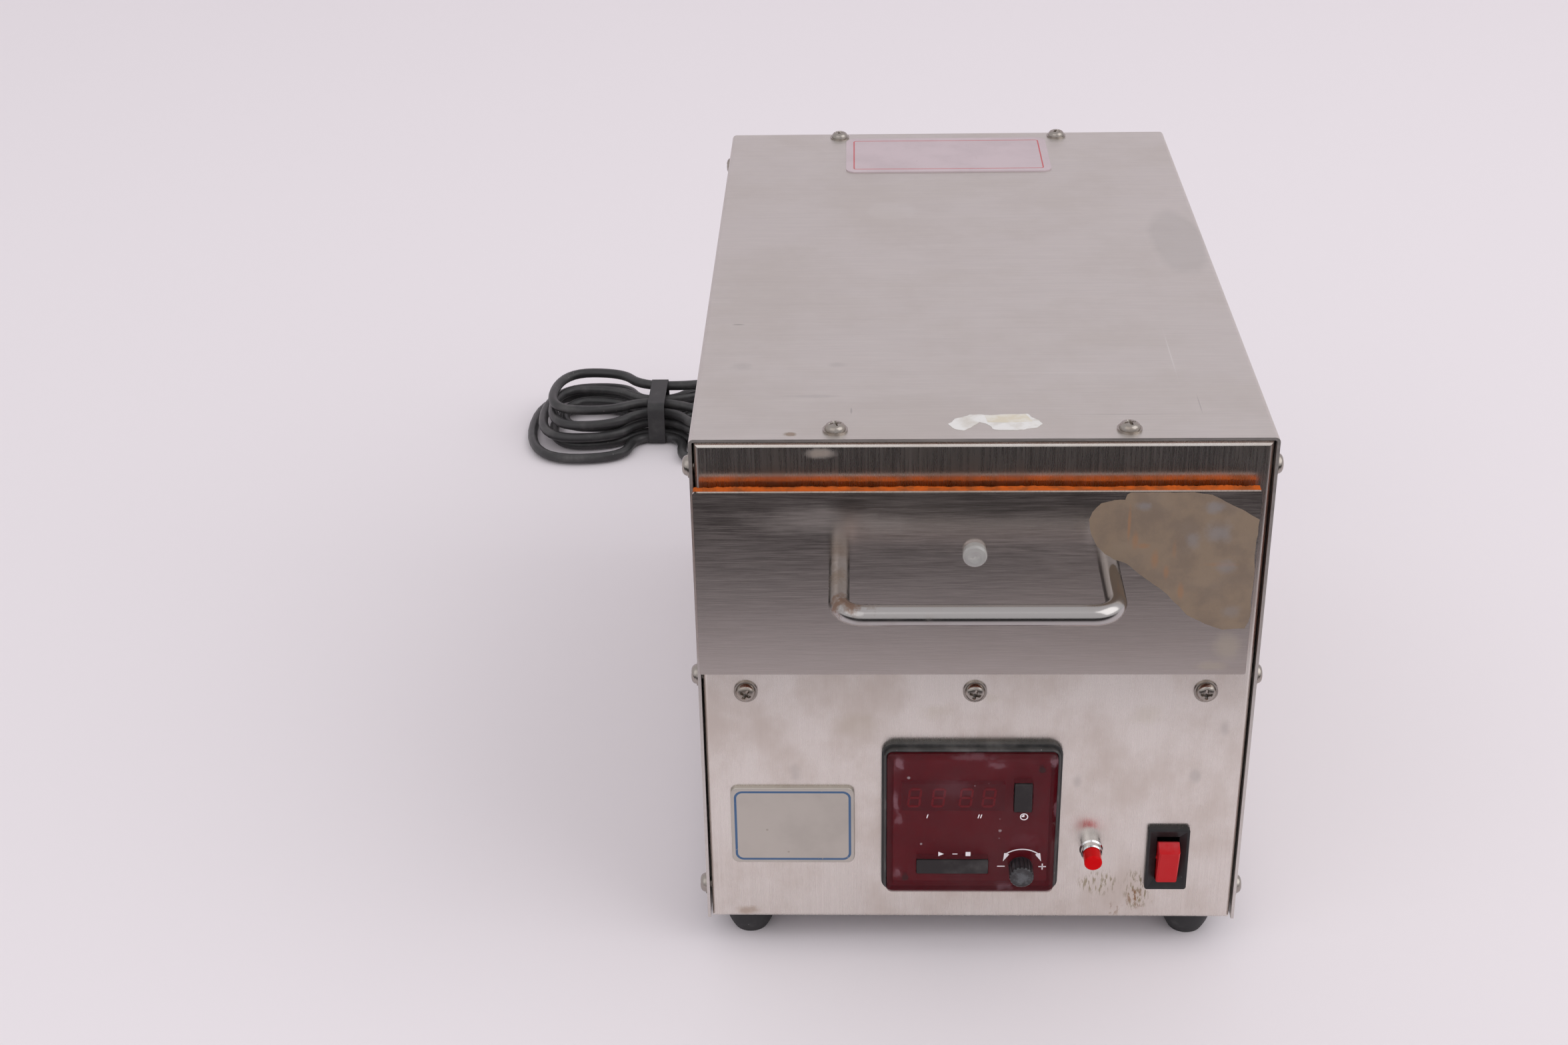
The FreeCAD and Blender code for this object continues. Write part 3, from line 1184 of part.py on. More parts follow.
def make_transformer_winding():
    """The winding round the core's middle leg, with rounded corners."""
    x, y = CORE_AT
    z = BASE_Z + SHEET + STRAP_SHEET + CORE_SIZE[2] / 2
    inner_x = CORE_LEG + 2 * WINDING_GAP
    inner_y = CORE_SIZE[1] + 2 * WINDING_GAP
    height = CORE_WINDOW[1] - 2 * WINDING_GAP
    outer = centred_slab((inner_x + 2 * WINDING_WALL, inner_y + 2 * WINDING_WALL, height), (x, y, z))
    outer = outer.makeFillet(WINDING_WALL * 0.8, [e for e in outer.Edges if along(e, 2)])
    return outer.cut(centred_slab((inner_x, inner_y, height + 2), (x, y, z)))


def make_transformer_strap():
    """The steel strap that holds the core down, with a foot on each side."""
    width, depth, height = CORE_SIZE
    x, y = CORE_AT
    z = BASE_Z + SHEET
    half = width / 2 + FIT_GAP
    strap_depth = depth * 0.5
    top = z + STRAP_SHEET + height + FIT_GAP
    outer = slab((x - half - STRAP_SHEET, x + half + STRAP_SHEET), (y - strap_depth / 2, y + strap_depth / 2),
                 (z, top + STRAP_SHEET))
    inner = slab((x - half, x + half), (y - depth, y + depth), (z + STRAP_SHEET, top))
    feet = slab((x - half - STRAP_FOOT, x + half + STRAP_FOOT), (y - strap_depth / 2, y + strap_depth / 2),
                (z, z + STRAP_SHEET))
    return outer.cut(inner).fuse(feet).removeSplitter()


def make_terminal_block():
    """The barrier terminal block on the floor of the bay."""
    x, y = TERMINAL_AT
    z = BASE_Z + SHEET
    width, depth, height = TERMINAL_SIZE
    block = slab((x - width / 2, x + width / 2), (y - depth / 2, y + depth / 2), (z, z + height))
    fins = []
    for step in range(TERMINAL_BARRIERS):
        fin_y = y - depth / 2 + (depth - 1.6) * step / (TERMINAL_BARRIERS - 1)
        fins.append(slab((x - width / 2, x + width / 2), (fin_y, fin_y + 1.6),
                         (z + height, z + height + TERMINAL_BARRIER_HEIGHT)))
    return block.fuse(fins).removeSplitter()


def measured_turn(before, corner, after):
    """The corner's turn in radians, and the radius of the arc that rounds it."""
    a, b = corner - before, after - corner
    turn = a.getAngle(b)
    return turn, CORNER_SHARE * min(a.Length, b.Length) / math.tan(turn / 2)


def rounded_route(points):
    """Straight runs joined by tangent arcs, as a wire, with the radius of each arc."""
    spots = [Vector(*p) for p in points]
    edges = []
    radii = []
    last = spots[0]
    for before, corner, after in zip(spots, spots[1:], spots[2:]):
        turn, radius = measured_turn(before, corner, after)
        setback = radius * math.tan(turn / 2)
        inward = (before - corner).normalize()
        onward = (after - corner).normalize()
        start, end = corner + inward * setback, corner + onward * setback
        bisector = (inward + onward).normalize()
        middle = corner + bisector * (radius / math.cos(turn / 2) - radius)
        edges.append(Part.LineSegment(last, start).toShape())
        edges.append(Part.Arc(start, middle, end).toShape())
        radii.append(radius)
        last = end
    edges.append(Part.LineSegment(last, spots[-1]).toShape())
    return Part.Wire(edges), radii


def swept_tube(wire, radius):
    """A round tube along a wire."""
    first = wire.OrderedEdges[0]
    start = first.valueAt(first.FirstParameter)
    heading = first.tangentAt(first.FirstParameter)
    section = Part.Wire(Part.makeCircle(radius, start, heading))
    return wire.makePipeShell([section], True, False)


def free_cord(name, points):
    """A free stretch of cord, with its length and radii printed."""
    wire, radii = rounded_route(points)
    tube = swept_tube(wire, CORD_DIAMETER / 2)
    expected = math.pi * (CORD_DIAMETER / 2) ** 2 * wire.Length
    shown = ", ".join(f"{r:.0f}" for r in radii)
    print(f"{name}: {wire.Length:.1f} long, radii {shown}, volume off by {tube.Volume / expected - 1:.5f}")
    return tube


def hank_size(turn):
    """How wide the loop is at a turn: one is the widest, zero the narrowest."""
    if turn <= HANK_CLIMBS[0]:
        return (HANK_CLIMBS[0] - turn) * HANK_STEP
    if turn <= HANK_CLIMBS[1]:
        return (turn - HANK_CLIMBS[0]) * HANK_STEP
    if turn <= HANK_CLIMBS[2]:
        return (HANK_CLIMBS[2] - turn) * HANK_STEP
    return (turn - HANK_CLIMBS[2]) * HANK_LAST_STEP


def hank_height(turn):
    """The height of the cord's middle at a turn: level, with a smooth rise along three runs."""
    level = 0.0
    for climb in HANK_CLIMBS:
        share = min(max((turn - climb + 0.25) / 0.5, 0.0), 1.0)
        level += share * share * (3 - 2 * share)
    return HANK_LOW_Z + level * HANK_LAYER


def grown(rule, size):
    """A measure of the loop at a size, from its start, growth and bend."""
    start, growth, bend = rule
    return start + growth * size + bend * size * size


def hank_node(turn, place):
    """A point of the hank and its heading; place is waist or lobe, told apart by the turn."""
    quarter = turn % 1.0
    back = 1 if quarter < 0.5 else -1
    size = hank_size(turn)
    if place == "waist":
        x, y = 0.0, back * grown(HANK_WAIST, size)
    else:
        side = 1 if 0.25 < quarter < 0.75 else -1
        x = side * grown(HANK_RUN, size)
        y = back * grown(HANK_LOBE, size)
    rise = (hank_height(turn + 0.01) - hank_height(turn - 0.01)) / (0.02 * HANK_TURN_LENGTH)
    heading = Vector(back, 0, rise).normalize()
    return Vector(HANK_X + x, HANK_Y + y, hank_height(turn)), heading


def hank_nodes():
    """The hank's nodes in order: in each half turn a waist and the two sides of a lobe."""
    nodes = []
    half_turn = 0
    while half_turn < HANK_HALF_TURNS:
        base = HANK_FIRST_LOBE + half_turn / 2
        nodes.append(hank_node(base, "lobe"))
        nodes.append(hank_node(base + HANK_LOBE_TO_WAIST, "waist"))
        nodes.append(hank_node(base + 2 * HANK_LOBE_TO_WAIST, "lobe"))
        half_turn += 1
    return nodes[:-1]


def biarc(start, heading, end, end_heading):
    """Two arcs that join two points along given headings."""
    span = end - start
    both = heading + end_heading
    across = 2 * (1 - heading.dot(end_heading))
    forward = span.dot(both)
    if across < 1e-9:
        reach = span.dot(span) / (4 * span.dot(end_heading))
    else:
        reach = (math.sqrt(forward * forward + across * span.dot(span)) - forward) / across
    control_a = start + heading * reach
    control_b = end - end_heading * reach
    meeting = (control_a + control_b) * 0.5
    return [arc_to(start, control_a, meeting), arc_to(meeting, control_b, end)]


def arc_to(start, control, end):
    """The arc from start to end whose tangents meet at the control point."""
    chord = end - start
    middle = (start + end) * 0.5
    outward = control - middle
    if outward.Length < 1e-6:
        return Part.LineSegment(start, end).toShape()
    half_angle = math.atan2(outward.Length, chord.Length / 2)
    bulge = chord.Length / 2 * math.tan(half_angle / 2)
    return Part.Arc(start, middle + outward.normalize() * bulge, end).toShape()


def hank_path():
    """The hank's centre line: biarcs through its nodes, with a straight end on both sides."""
    nodes = hank_nodes()
    first, first_heading = nodes[0]
    last, last_heading = nodes[-1]
    edges = [Part.LineSegment(first - first_heading * HANK_END, first).toShape()]
    for (a, heading_a), (b, heading_b) in zip(nodes, nodes[1:]):
        edges += biarc(a, heading_a, b, heading_b)
    edges.append(Part.LineSegment(last, last + last_heading * HANK_END).toShape())
    return Part.Wire(edges)


def least_gap_to_itself(path, spacing, skip):
    """The least clear gap between two stretches of the cord, measured on points along it."""
    points = path.discretize(Distance=spacing)
    places = [(p.x, p.y, p.z) for p in points]
    least = 1e9
    for i, a in enumerate(places):
        for b in places[i + skip:]:
            if abs(a[2] - b[2]) < 3 * CORD_DIAMETER and abs(a[0] - b[0]) < 3 * CORD_DIAMETER:
                least = min(least, math.dist(a, b))
    return least - CORD_DIAMETER


def make_cord_hank():
    """The hank: one unbroken tube wound in four layers and drawn in at the waist."""
    path = hank_path()
    radii = [e.Curve.Radius for e in path.Edges if hasattr(e.Curve, "Radius")]
    gap = least_gap_to_itself(path, 2.0, 14)
    tube = swept_tube(path, CORD_DIAMETER / 2)
    expected = math.pi * (CORD_DIAMETER / 2) ** 2 * path.Length
    print(f"hank: {path.Length:.0f} long, {len(path.Edges)} edges, tightest radius {min(radii):.1f}, "
          f"least gap {gap:.2f}, volume off by {tube.Volume / expected - 1:.5f}")
    return tube


def hank_ends():
    """The two end points of the hank with their outward headings: the tail's, then the lead's."""
    nodes = hank_nodes()
    first, first_heading = nodes[0]
    last, last_heading = nodes[-1]
    tail_way, lead_way = first_heading * -1, last_heading
    return (first + tail_way * HANK_END, tail_way), (last + lead_way * HANK_END, lead_way)


def lead_route():
    """The lead's points, from the strain relief to the hank."""
    relief = (RELIEF_AT[0], BACK_FACE_Y + RELIEF_LENGTH, BASE_Z + RELIEF_AT[1])
    joint, way = hank_ends()[1]
    return [relief] + LEAD_POINTS + [tuple(joint + way * LEAD_LAST_RUN), tuple(joint)]


def tail_route():
    """The tail's points, from the hank to the plug."""
    joint, way = hank_ends()[0]
    return [tuple(joint), tuple(joint + way * TAIL_FIRST_RUN)] + TAIL_POINTS


def make_cord_tie():
    """The band round the hank's waist."""
    spread = CORD_DIAMETER / 2 + TIE_GAP
    outer_half = grown(HANK_WAIST, hank_size(-0.25))
    last_half = grown(HANK_WAIST, hank_size(0.25))
    y = (HANK_Y - outer_half - spread, HANK_Y + last_half + spread)
    z = (HANK_LOW_Z - CORD_DIAMETER / 2 - TIE_LIFT, hank_height(5.25) + CORD_DIAMETER / 2 + TIE_LIFT)
    x = (HANK_X - TIE_WIDTH / 2, HANK_X + TIE_WIDTH / 2)
    t = TIE_THICKNESS
    outer = slab(x, (y[0] - t, y[1] + t), (z[0] - t, z[1] + t))
    outer = outer.makeFillet(TIE_CORNER + t, [e for e in outer.Edges if along(e, 0)])
    inner = slab((x[0] - 1, x[1] + 1), y, z)
    inner = inner.makeFillet(TIE_CORNER, [e for e in inner.Edges if along(e, 0)])
    return outer.cut(inner)


def make_plug():
    """The moulded plug with its own tapered relief, lying on the bench."""
    x, y, z = TAIL_POINTS[-1]
    relief = lathe([(0, 0), (CORD_DIAMETER / 2 + 0.8, 0), (PLUG_NECK_RADIUS, PLUG_RELIEF), (0, PLUG_RELIEF)],
                   (x, y, z), (1, 0, 0))
    width, height = PLUG_SECTION
    front = x + PLUG_RELIEF + PLUG_LENGTH
    neck_x = x + PLUG_RELIEF

    def section(at, wide, high):
        ring = centred_slab((1, wide, high), (at + 0.5, y, z))
        ring = ring.makeFillet(min(wide, high) * 0.32, [e for e in ring.Edges if along(e, 0)])
        return [f for f in ring.Faces if abs(f.CenterOfMass.x - at) < 1e-6][0].OuterWire

    neck = 2 * PLUG_NECK_RADIUS
    taper = Part.makeLoft([section(neck_x, neck, neck), section(front - PLUG_GRIP, width, height)], True, True)
    grip = Part.makeLoft([section(front - PLUG_GRIP, width, height), section(front, width, height)], True, True)
    return taper.fuse([grip, relief]).removeSplitter()


def make_plug_blades():
    """The plug's two flat blades and its round earth pin."""
    x, y, z = TAIL_POINTS[-1]
    front = x + PLUG_RELIEF + PLUG_LENGTH
    pieces = []
    for side in (-1, 1):
        middle = (front + BLADE_SIZE[0] / 2, y - BLADE_ROW, z + side * BLADE_PITCH / 2)
        pieces.append(centred_slab(BLADE_SIZE, middle))
    pin_y = y - BLADE_ROW + EARTH_OFFSET
    pin = rod(EARTH_RADIUS, (front, pin_y, z), (front + EARTH_LENGTH, pin_y, z))
    pieces.append(pin.makeFillet(EARTH_RADIUS * 0.7, edges_at(pin, 0, front + EARTH_LENGTH)))
    return Part.makeCompound(pieces)


def save(node, shape):
    """Write one node, moved so that the origin is in the middle of the footprint."""
    shape = shape.copy()
    shape.translate(Vector(0, -CENTRE_Y, 0))
    solids = shape.Solids
    if not solids or not shape.isValid():
        raise ValueError(node + " did not come out as valid solids")
    shape.exportStep("parts/" + node + ".step")
    print(f"{node}: {len(solids)} solid(s), {shape.Volume / 1000:.2f} cm3")


def main():
    """Build every node."""
    os.makedirs("parts", exist_ok=True)
    print(f"middle of the footprint lies {CENTRE_Y:.3f} behind the case's front edge")
    save("top_cover", make_top_cover())
    save("front_panel", make_front_panel())
    save("back_panel", make_back_panel())
    save("bottom_plate", make_bottom_plate())
    save("shelf", make_shelf())
    save("chamber_liner", make_chamber_liner())
    channel = make_slide_channel()
    save("slide_channel_left", channel)
    save("slide_channel_right", mirrored(channel))
    runner = make_drawer_runner()
    save("drawer_runner_left", runner)
    save("drawer_runner_right", mirrored(runner))
    save("drawer_tray", make_drawer_tray())
    save("door_plate", make_door_plate())
    save("door_gasket", make_door_gasket())
    save("door_handle", make_handle())
    save("handle_screws", make_handle_screws())
    save("view_port", make_view_port())
    save("uv_lamp", make_uv_lamp())
    save("lamp_sockets", make_lamp_sockets())
    save("lamp_reflector", make_lamp_reflector())
    save("lamp_clips", make_lamp_clips())
    save("timer_bezel", make_timer_bezel())
    save("timer_window", make_timer_window())
    save("timer_face", make_timer_face())
    save("timer_display", make_timer_display())
    save("timer_digits", make_timer_digits())
    save("timer_housing", make_timer_housing())
    save("timer_clamp", make_timer_clamp())
    save("clock_key", make_key(CLOCK_KEY_SIZE, CLOCK_KEY_AT))
    save("start_key", make_key(START_KEY_SIZE, START_KEY_AT))
    save("timer_knob", make_timer_knob())
    save("pilot_ring", make_pilot_ring())
    save("pilot_lens", make_pilot_lens())
    save("pilot_body", make_pilot_body())
    save("switch_body", make_switch_body())
    save("power_rocker", make_power_rocker())
    save("nameplate", make_nameplate())
    save("top_plate", make_top_plate())
    for name, place in zip(("front_left", "front_right", "back_left", "back_right"), foot_places()):
        save("foot_" + name, make_foot(place))
    save("foot_screws", make_foot_screws())
    screws, washers = make_fasteners()
    save("case_screws", screws)
    save("case_washers", washers)
    save("exhaust_port", make_exhaust_port())
    save("fuse_holder", make_fuse_holder())
    save("fuse_cap", make_fuse_cap())
    save("strain_relief", make_strain_relief())
    save("power_cord_lead", free_cord("lead", lead_route()))
    save("power_cord_hank", make_cord_hank())
    save("power_cord_tail", free_cord("tail", tail_route()))
    save("cord_tie", make_cord_tie())
    save("power_plug", make_plug())
    save("plug_blades", make_plug_blades())
    save("interlock_switch", make_interlock_switch())
    save("interlock_plunger", make_interlock_plunger())
    save("transformer_core", make_transformer_core())
    save("transformer_winding", make_transformer_winding())
    save("transformer_strap", make_transformer_strap())
    save("terminal_block", make_terminal_block())


if __name__ == "__main__":
    main()
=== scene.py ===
"""Looks of a bench ultraviolet ozone cleaner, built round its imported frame.

Lengths in the classes are millimetres, with Y = 0 at the front edge of the case and Z = 0 on the
bench, as a maker would measure them. Meshes are written in metres in the row frame.
"""

import json
import logging
import math
from collections.abc import Sequence
from dataclasses import dataclass, field
from enum import Enum

import bmesh
import bpy
import numpy as np
from mathutils import Matrix, Vector

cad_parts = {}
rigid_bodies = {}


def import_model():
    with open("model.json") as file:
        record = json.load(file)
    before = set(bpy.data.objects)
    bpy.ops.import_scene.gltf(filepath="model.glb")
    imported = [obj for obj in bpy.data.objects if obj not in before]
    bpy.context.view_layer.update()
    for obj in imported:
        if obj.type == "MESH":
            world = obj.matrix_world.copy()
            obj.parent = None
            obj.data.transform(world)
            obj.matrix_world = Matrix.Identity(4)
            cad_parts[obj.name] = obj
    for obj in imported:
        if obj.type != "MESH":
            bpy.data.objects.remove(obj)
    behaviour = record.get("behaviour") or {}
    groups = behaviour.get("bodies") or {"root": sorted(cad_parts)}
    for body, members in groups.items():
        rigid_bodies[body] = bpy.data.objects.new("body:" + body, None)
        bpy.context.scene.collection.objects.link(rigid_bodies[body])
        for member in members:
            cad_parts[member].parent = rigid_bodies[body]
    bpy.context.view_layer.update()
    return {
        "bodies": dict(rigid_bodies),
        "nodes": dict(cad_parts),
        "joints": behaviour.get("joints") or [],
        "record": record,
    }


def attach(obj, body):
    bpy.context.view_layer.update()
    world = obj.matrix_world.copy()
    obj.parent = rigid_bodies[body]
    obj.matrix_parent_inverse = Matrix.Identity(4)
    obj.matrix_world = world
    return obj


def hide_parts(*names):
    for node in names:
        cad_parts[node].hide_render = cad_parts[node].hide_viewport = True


LOG = logging.getLogger("ozone_cleaner")
MM = 0.001
FRONT_EDGE_Y = -166.45
Colour = tuple[float, float, float]
Point = tuple[float, float, float]


class Body(Enum):
    """The moving bodies of the frame."""

    CABINET = "cabinet"
    DRAWER = "drawer"


class Grain(Enum):
    """Which way a sheet is brushed, as how tightly its lines are packed along each axis."""

    ALONG_X_ON_TOP = (60.0, 2400.0, 2400.0)
    UPRIGHT = (2200.0, 2200.0, 45.0)
    ALONG_X_ON_FRONT = (75.0, 2400.0, 2400.0)


def row(points: np.ndarray | Sequence) -> np.ndarray:
    """Case millimetres as row-frame metres.

    Args:
        points: One point or an array of points, in millimetres from the case's front edge.

    Returns:
        The same points in metres, with the origin in the middle of the footprint.
    """
    return (np.asarray(points, float) + np.array((0.0, FRONT_EDGE_Y, 0.0))) * MM


# Meshes


@dataclass
class Shell:
    """A surface as vertices in metres and faces of vertex numbers."""

    vertices: np.ndarray
    faces: list[tuple[int, ...]]

    @staticmethod
    def joined(shells: Sequence["Shell"]) -> "Shell":
        """Several shells as one, in order."""
        faces: list[tuple[int, ...]] = []
        start = 0
        for shell in shells:
            faces += [tuple(i + start for i in face) for face in shell.faces]
            start += len(shell.vertices)
        return Shell(np.vstack([s.vertices for s in shells]), faces)


def woven(points: np.ndarray, closed_rows: bool = False, closed_columns: bool = True,
          capped: bool = False) -> Shell:
    """A grid of points joined by four-sided faces.

    Args:
        points: Positions in metres, as rows by columns by three.
        closed_rows: Whether the last row joins the first.
        closed_columns: Whether the last column joins the first.
        capped: Whether the first and last rows are closed by one face each.

    Returns:
        The surface.
    """
    rows, columns = points.shape[:2]
    index = np.arange(rows * columns).reshape(rows, columns)
    ring = index
    if closed_rows:
        index = np.vstack([index, index[:1]])
    if closed_columns:
        index = np.hstack([index, index[:, :1]])
    quads = np.stack([index[:-1, :-1], index[:-1, 1:], index[1:, 1:], index[1:, :-1]], axis=-1)
    faces = [tuple(q) for q in quads.reshape(-1, 4).tolist()]
    if capped:
        faces.append(tuple(ring[0, ::-1].tolist()))
        faces.append(tuple(ring[-1].tolist()))
    return Shell(points.reshape(-1, 3), faces)


def prism(outline: np.ndarray, low: float, high: float, axes: tuple[int, int, int]) -> Shell:
    """A flat outline with a thickness.

    Args:
        outline: Points in millimetres, as pairs.
        low: Where the thickness starts, in millimetres along the third axis.
        high: Where it ends.
        axes: The axes of the outline's two numbers, then that of the thickness.

    Returns:
        The closed shell.
    """
    rings = []
    for level in (low, high):
        ring = np.zeros((len(outline), 3))
        ring[:, axes[0]] = outline[:, 0]
        ring[:, axes[1]] = outline[:, 1]
        ring[:, axes[2]] = level
        rings.append(row(ring))
    return woven(np.stack(rings), capped=True)


def ragged(outline: Sequence[tuple[float, float]], rounds: int, jitter: float, seed: int) -> np.ndarray:
    """A torn version of an outline.

    In each round every side gets a new middle point that is pushed sideways by a random share of
    the side's length.

    Args:
        outline: The corners, in order.
        rounds: How often the sides are split.
        jitter: The largest push, as a share of a side.
        seed: The random seed.

    Returns:
        The finer outline.
    """
    random = np.random.default_rng(seed)
    points = np.asarray(outline, float)
    for _ in range(rounds):
        after = np.roll(points, -1, axis=0)
        span = after - points
        sideways = np.stack([-span[:, 1], span[:, 0]], axis=1)
        push = random.uniform(-jitter, jitter, len(points))[:, None]
        middle = (points + after) / 2 + sideways * push
        points = np.stack([points, middle], axis=1).reshape(-1, 2)
    return points


def add_piece(name: str, shell: Shell, body: str, material: bpy.types.Material,
              sharp_degrees: float = 40.0) -> bpy.types.Object:
    """Put a shell into the scene as a piece of the object.

    Args:
        name: The piece's name.
        shell: Its surface.
        body: The frame body that it rides on.
        material: Its finish.
        sharp_degrees: The angle between faces past which an edge is sharp.

    Returns:
        The new object.
    """
    mesh = bpy.data.meshes.new(name)
    mesh.from_pydata(shell.vertices.tolist(), [], shell.faces)
    work = bmesh.new()
    work.from_mesh(mesh)
    bmesh.ops.remove_doubles(work, verts=work.verts, dist=1e-7)
    bmesh.ops.recalc_face_normals(work, faces=work.faces)
    work.to_mesh(mesh)
    work.free()
    mesh.polygons.foreach_set("use_smooth", np.ones(len(mesh.polygons), bool))
    mesh.set_sharp_from_angle(angle=math.radians(sharp_degrees))
    mesh.materials.append(material)
    piece = bpy.data.objects.new(name, mesh)
    bpy.context.scene.collection.objects.link(piece)
    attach(piece, body)
    LOG.info("%s: %d faces", name, len(mesh.polygons))
    return piece


def dress(frame: dict, material: bpy.types.Material, *nodes: str) -> None:
    """Give CAD nodes a finish.

    Args:
        frame: The loaded frame.
        material: The finish.
        nodes: The nodes' names.
    """
    for node in nodes:
        mesh = frame["nodes"][node].data
        mesh.materials.clear()
        mesh.materials.append(material)


# Shader building


class Graph:
    """A node tree with short ways to add what the finishes use."""

    def __init__(self, tree: bpy.types.NodeTree) -> None:
        """Keep the tree."""
        self.tree = tree

    def add(self, kind: str, **settings: object) -> bpy.types.Node:
        """A node of a kind, with its settings."""
        node = self.tree.nodes.new(kind)
        for key, value in settings.items():
            setattr(node, key, value)
        return node

    def feed(self, socket: bpy.types.NodeSocket, value: object) -> None:
        """Link an output to an input, or set the input to a plain value."""
        if isinstance(value, bpy.types.NodeSocket):
            self.tree.links.new(value, socket)
        elif isinstance(value, tuple) and len(value) == 3 and socket.type == "RGBA":
            socket.default_value = (*value, 1.0)
        else:
            socket.default_value = value

    def math(self, operation: str, a: object, b: object = 0.0, clamp: bool = False) -> bpy.types.NodeSocket:
        """One sum on two numbers."""
        node = self.add("ShaderNodeMath", operation=operation, use_clamp=clamp)
        self.feed(node.inputs[0], a)
        self.feed(node.inputs[1], b)
        return node.outputs[0]

    def vector(self, operation: str, a: object, b: object = (0.0, 0.0, 0.0)) -> bpy.types.NodeSocket:
        """One sum on two vectors; a length comes out as a number."""
        node = self.add("ShaderNodeVectorMath", operation=operation)
        self.feed(node.inputs[0], a)
        self.feed(node.inputs[1], b)
        return node.outputs["Value"] if operation == "LENGTH" else node.outputs[0]

    def spread(self, value: object, low: object, high: object, to_low: object = 0.0,
               to_high: object = 1.0) -> bpy.types.NodeSocket:
        """A number eased from one range to another."""
        node = self.add("ShaderNodeMapRange", interpolation_type="SMOOTHSTEP")
        for socket, given in zip(node.inputs[:5], (value, low, high, to_low, to_high)):
            self.feed(socket, given)
        return node.outputs[0]

    def mix(self, share: object, a: object, b: object, blend: str = "MIX") -> bpy.types.NodeSocket:
        """Two colours mixed by a share."""
        node = self.add("ShaderNodeMix", data_type="RGBA", blend_type=blend)
        self.feed(node.inputs[0], share)
        self.feed(node.inputs[6], a)
        self.feed(node.inputs[7], b)
        return node.outputs[2]

    def noise(self, vector: object, scale: object, detail: float = 2.0,
              roughness: float = 0.5) -> bpy.types.NodeSocket:
        """Smooth noise about one half."""
        node = self.add("ShaderNodeTexNoise")
        self.feed(node.inputs["Vector"], vector)
        self.feed(node.inputs["Scale"], scale)
        self.feed(node.inputs["Detail"], detail)
        self.feed(node.inputs["Roughness"], roughness)
        return node.outputs[0]

    def place(self) -> bpy.types.NodeSocket:
        """The point on the object, in metres."""
        return self.add("ShaderNodeTexCoord").outputs["Object"]

    def bump(self, height: object, strength: float, distance: float) -> bpy.types.NodeSocket:
        """A normal from a height, with a distance in metres."""
        node = self.add("ShaderNodeBump")
        node.inputs["Strength"].default_value = strength
        node.inputs["Distance"].default_value = distance
        self.feed(node.inputs["Height"], height)
        return node.outputs[0]

    def effect(self, group: bpy.types.NodeTree, **inputs: object) -> bpy.types.Node:
        """A shared effect, with its named inputs; a name's underscores stand for spaces."""
        node = self.add("ShaderNodeGroup", node_tree=group)
        for key, value in inputs.items():
            self.feed(node.inputs[key.replace("_", " ")], value)
        return node


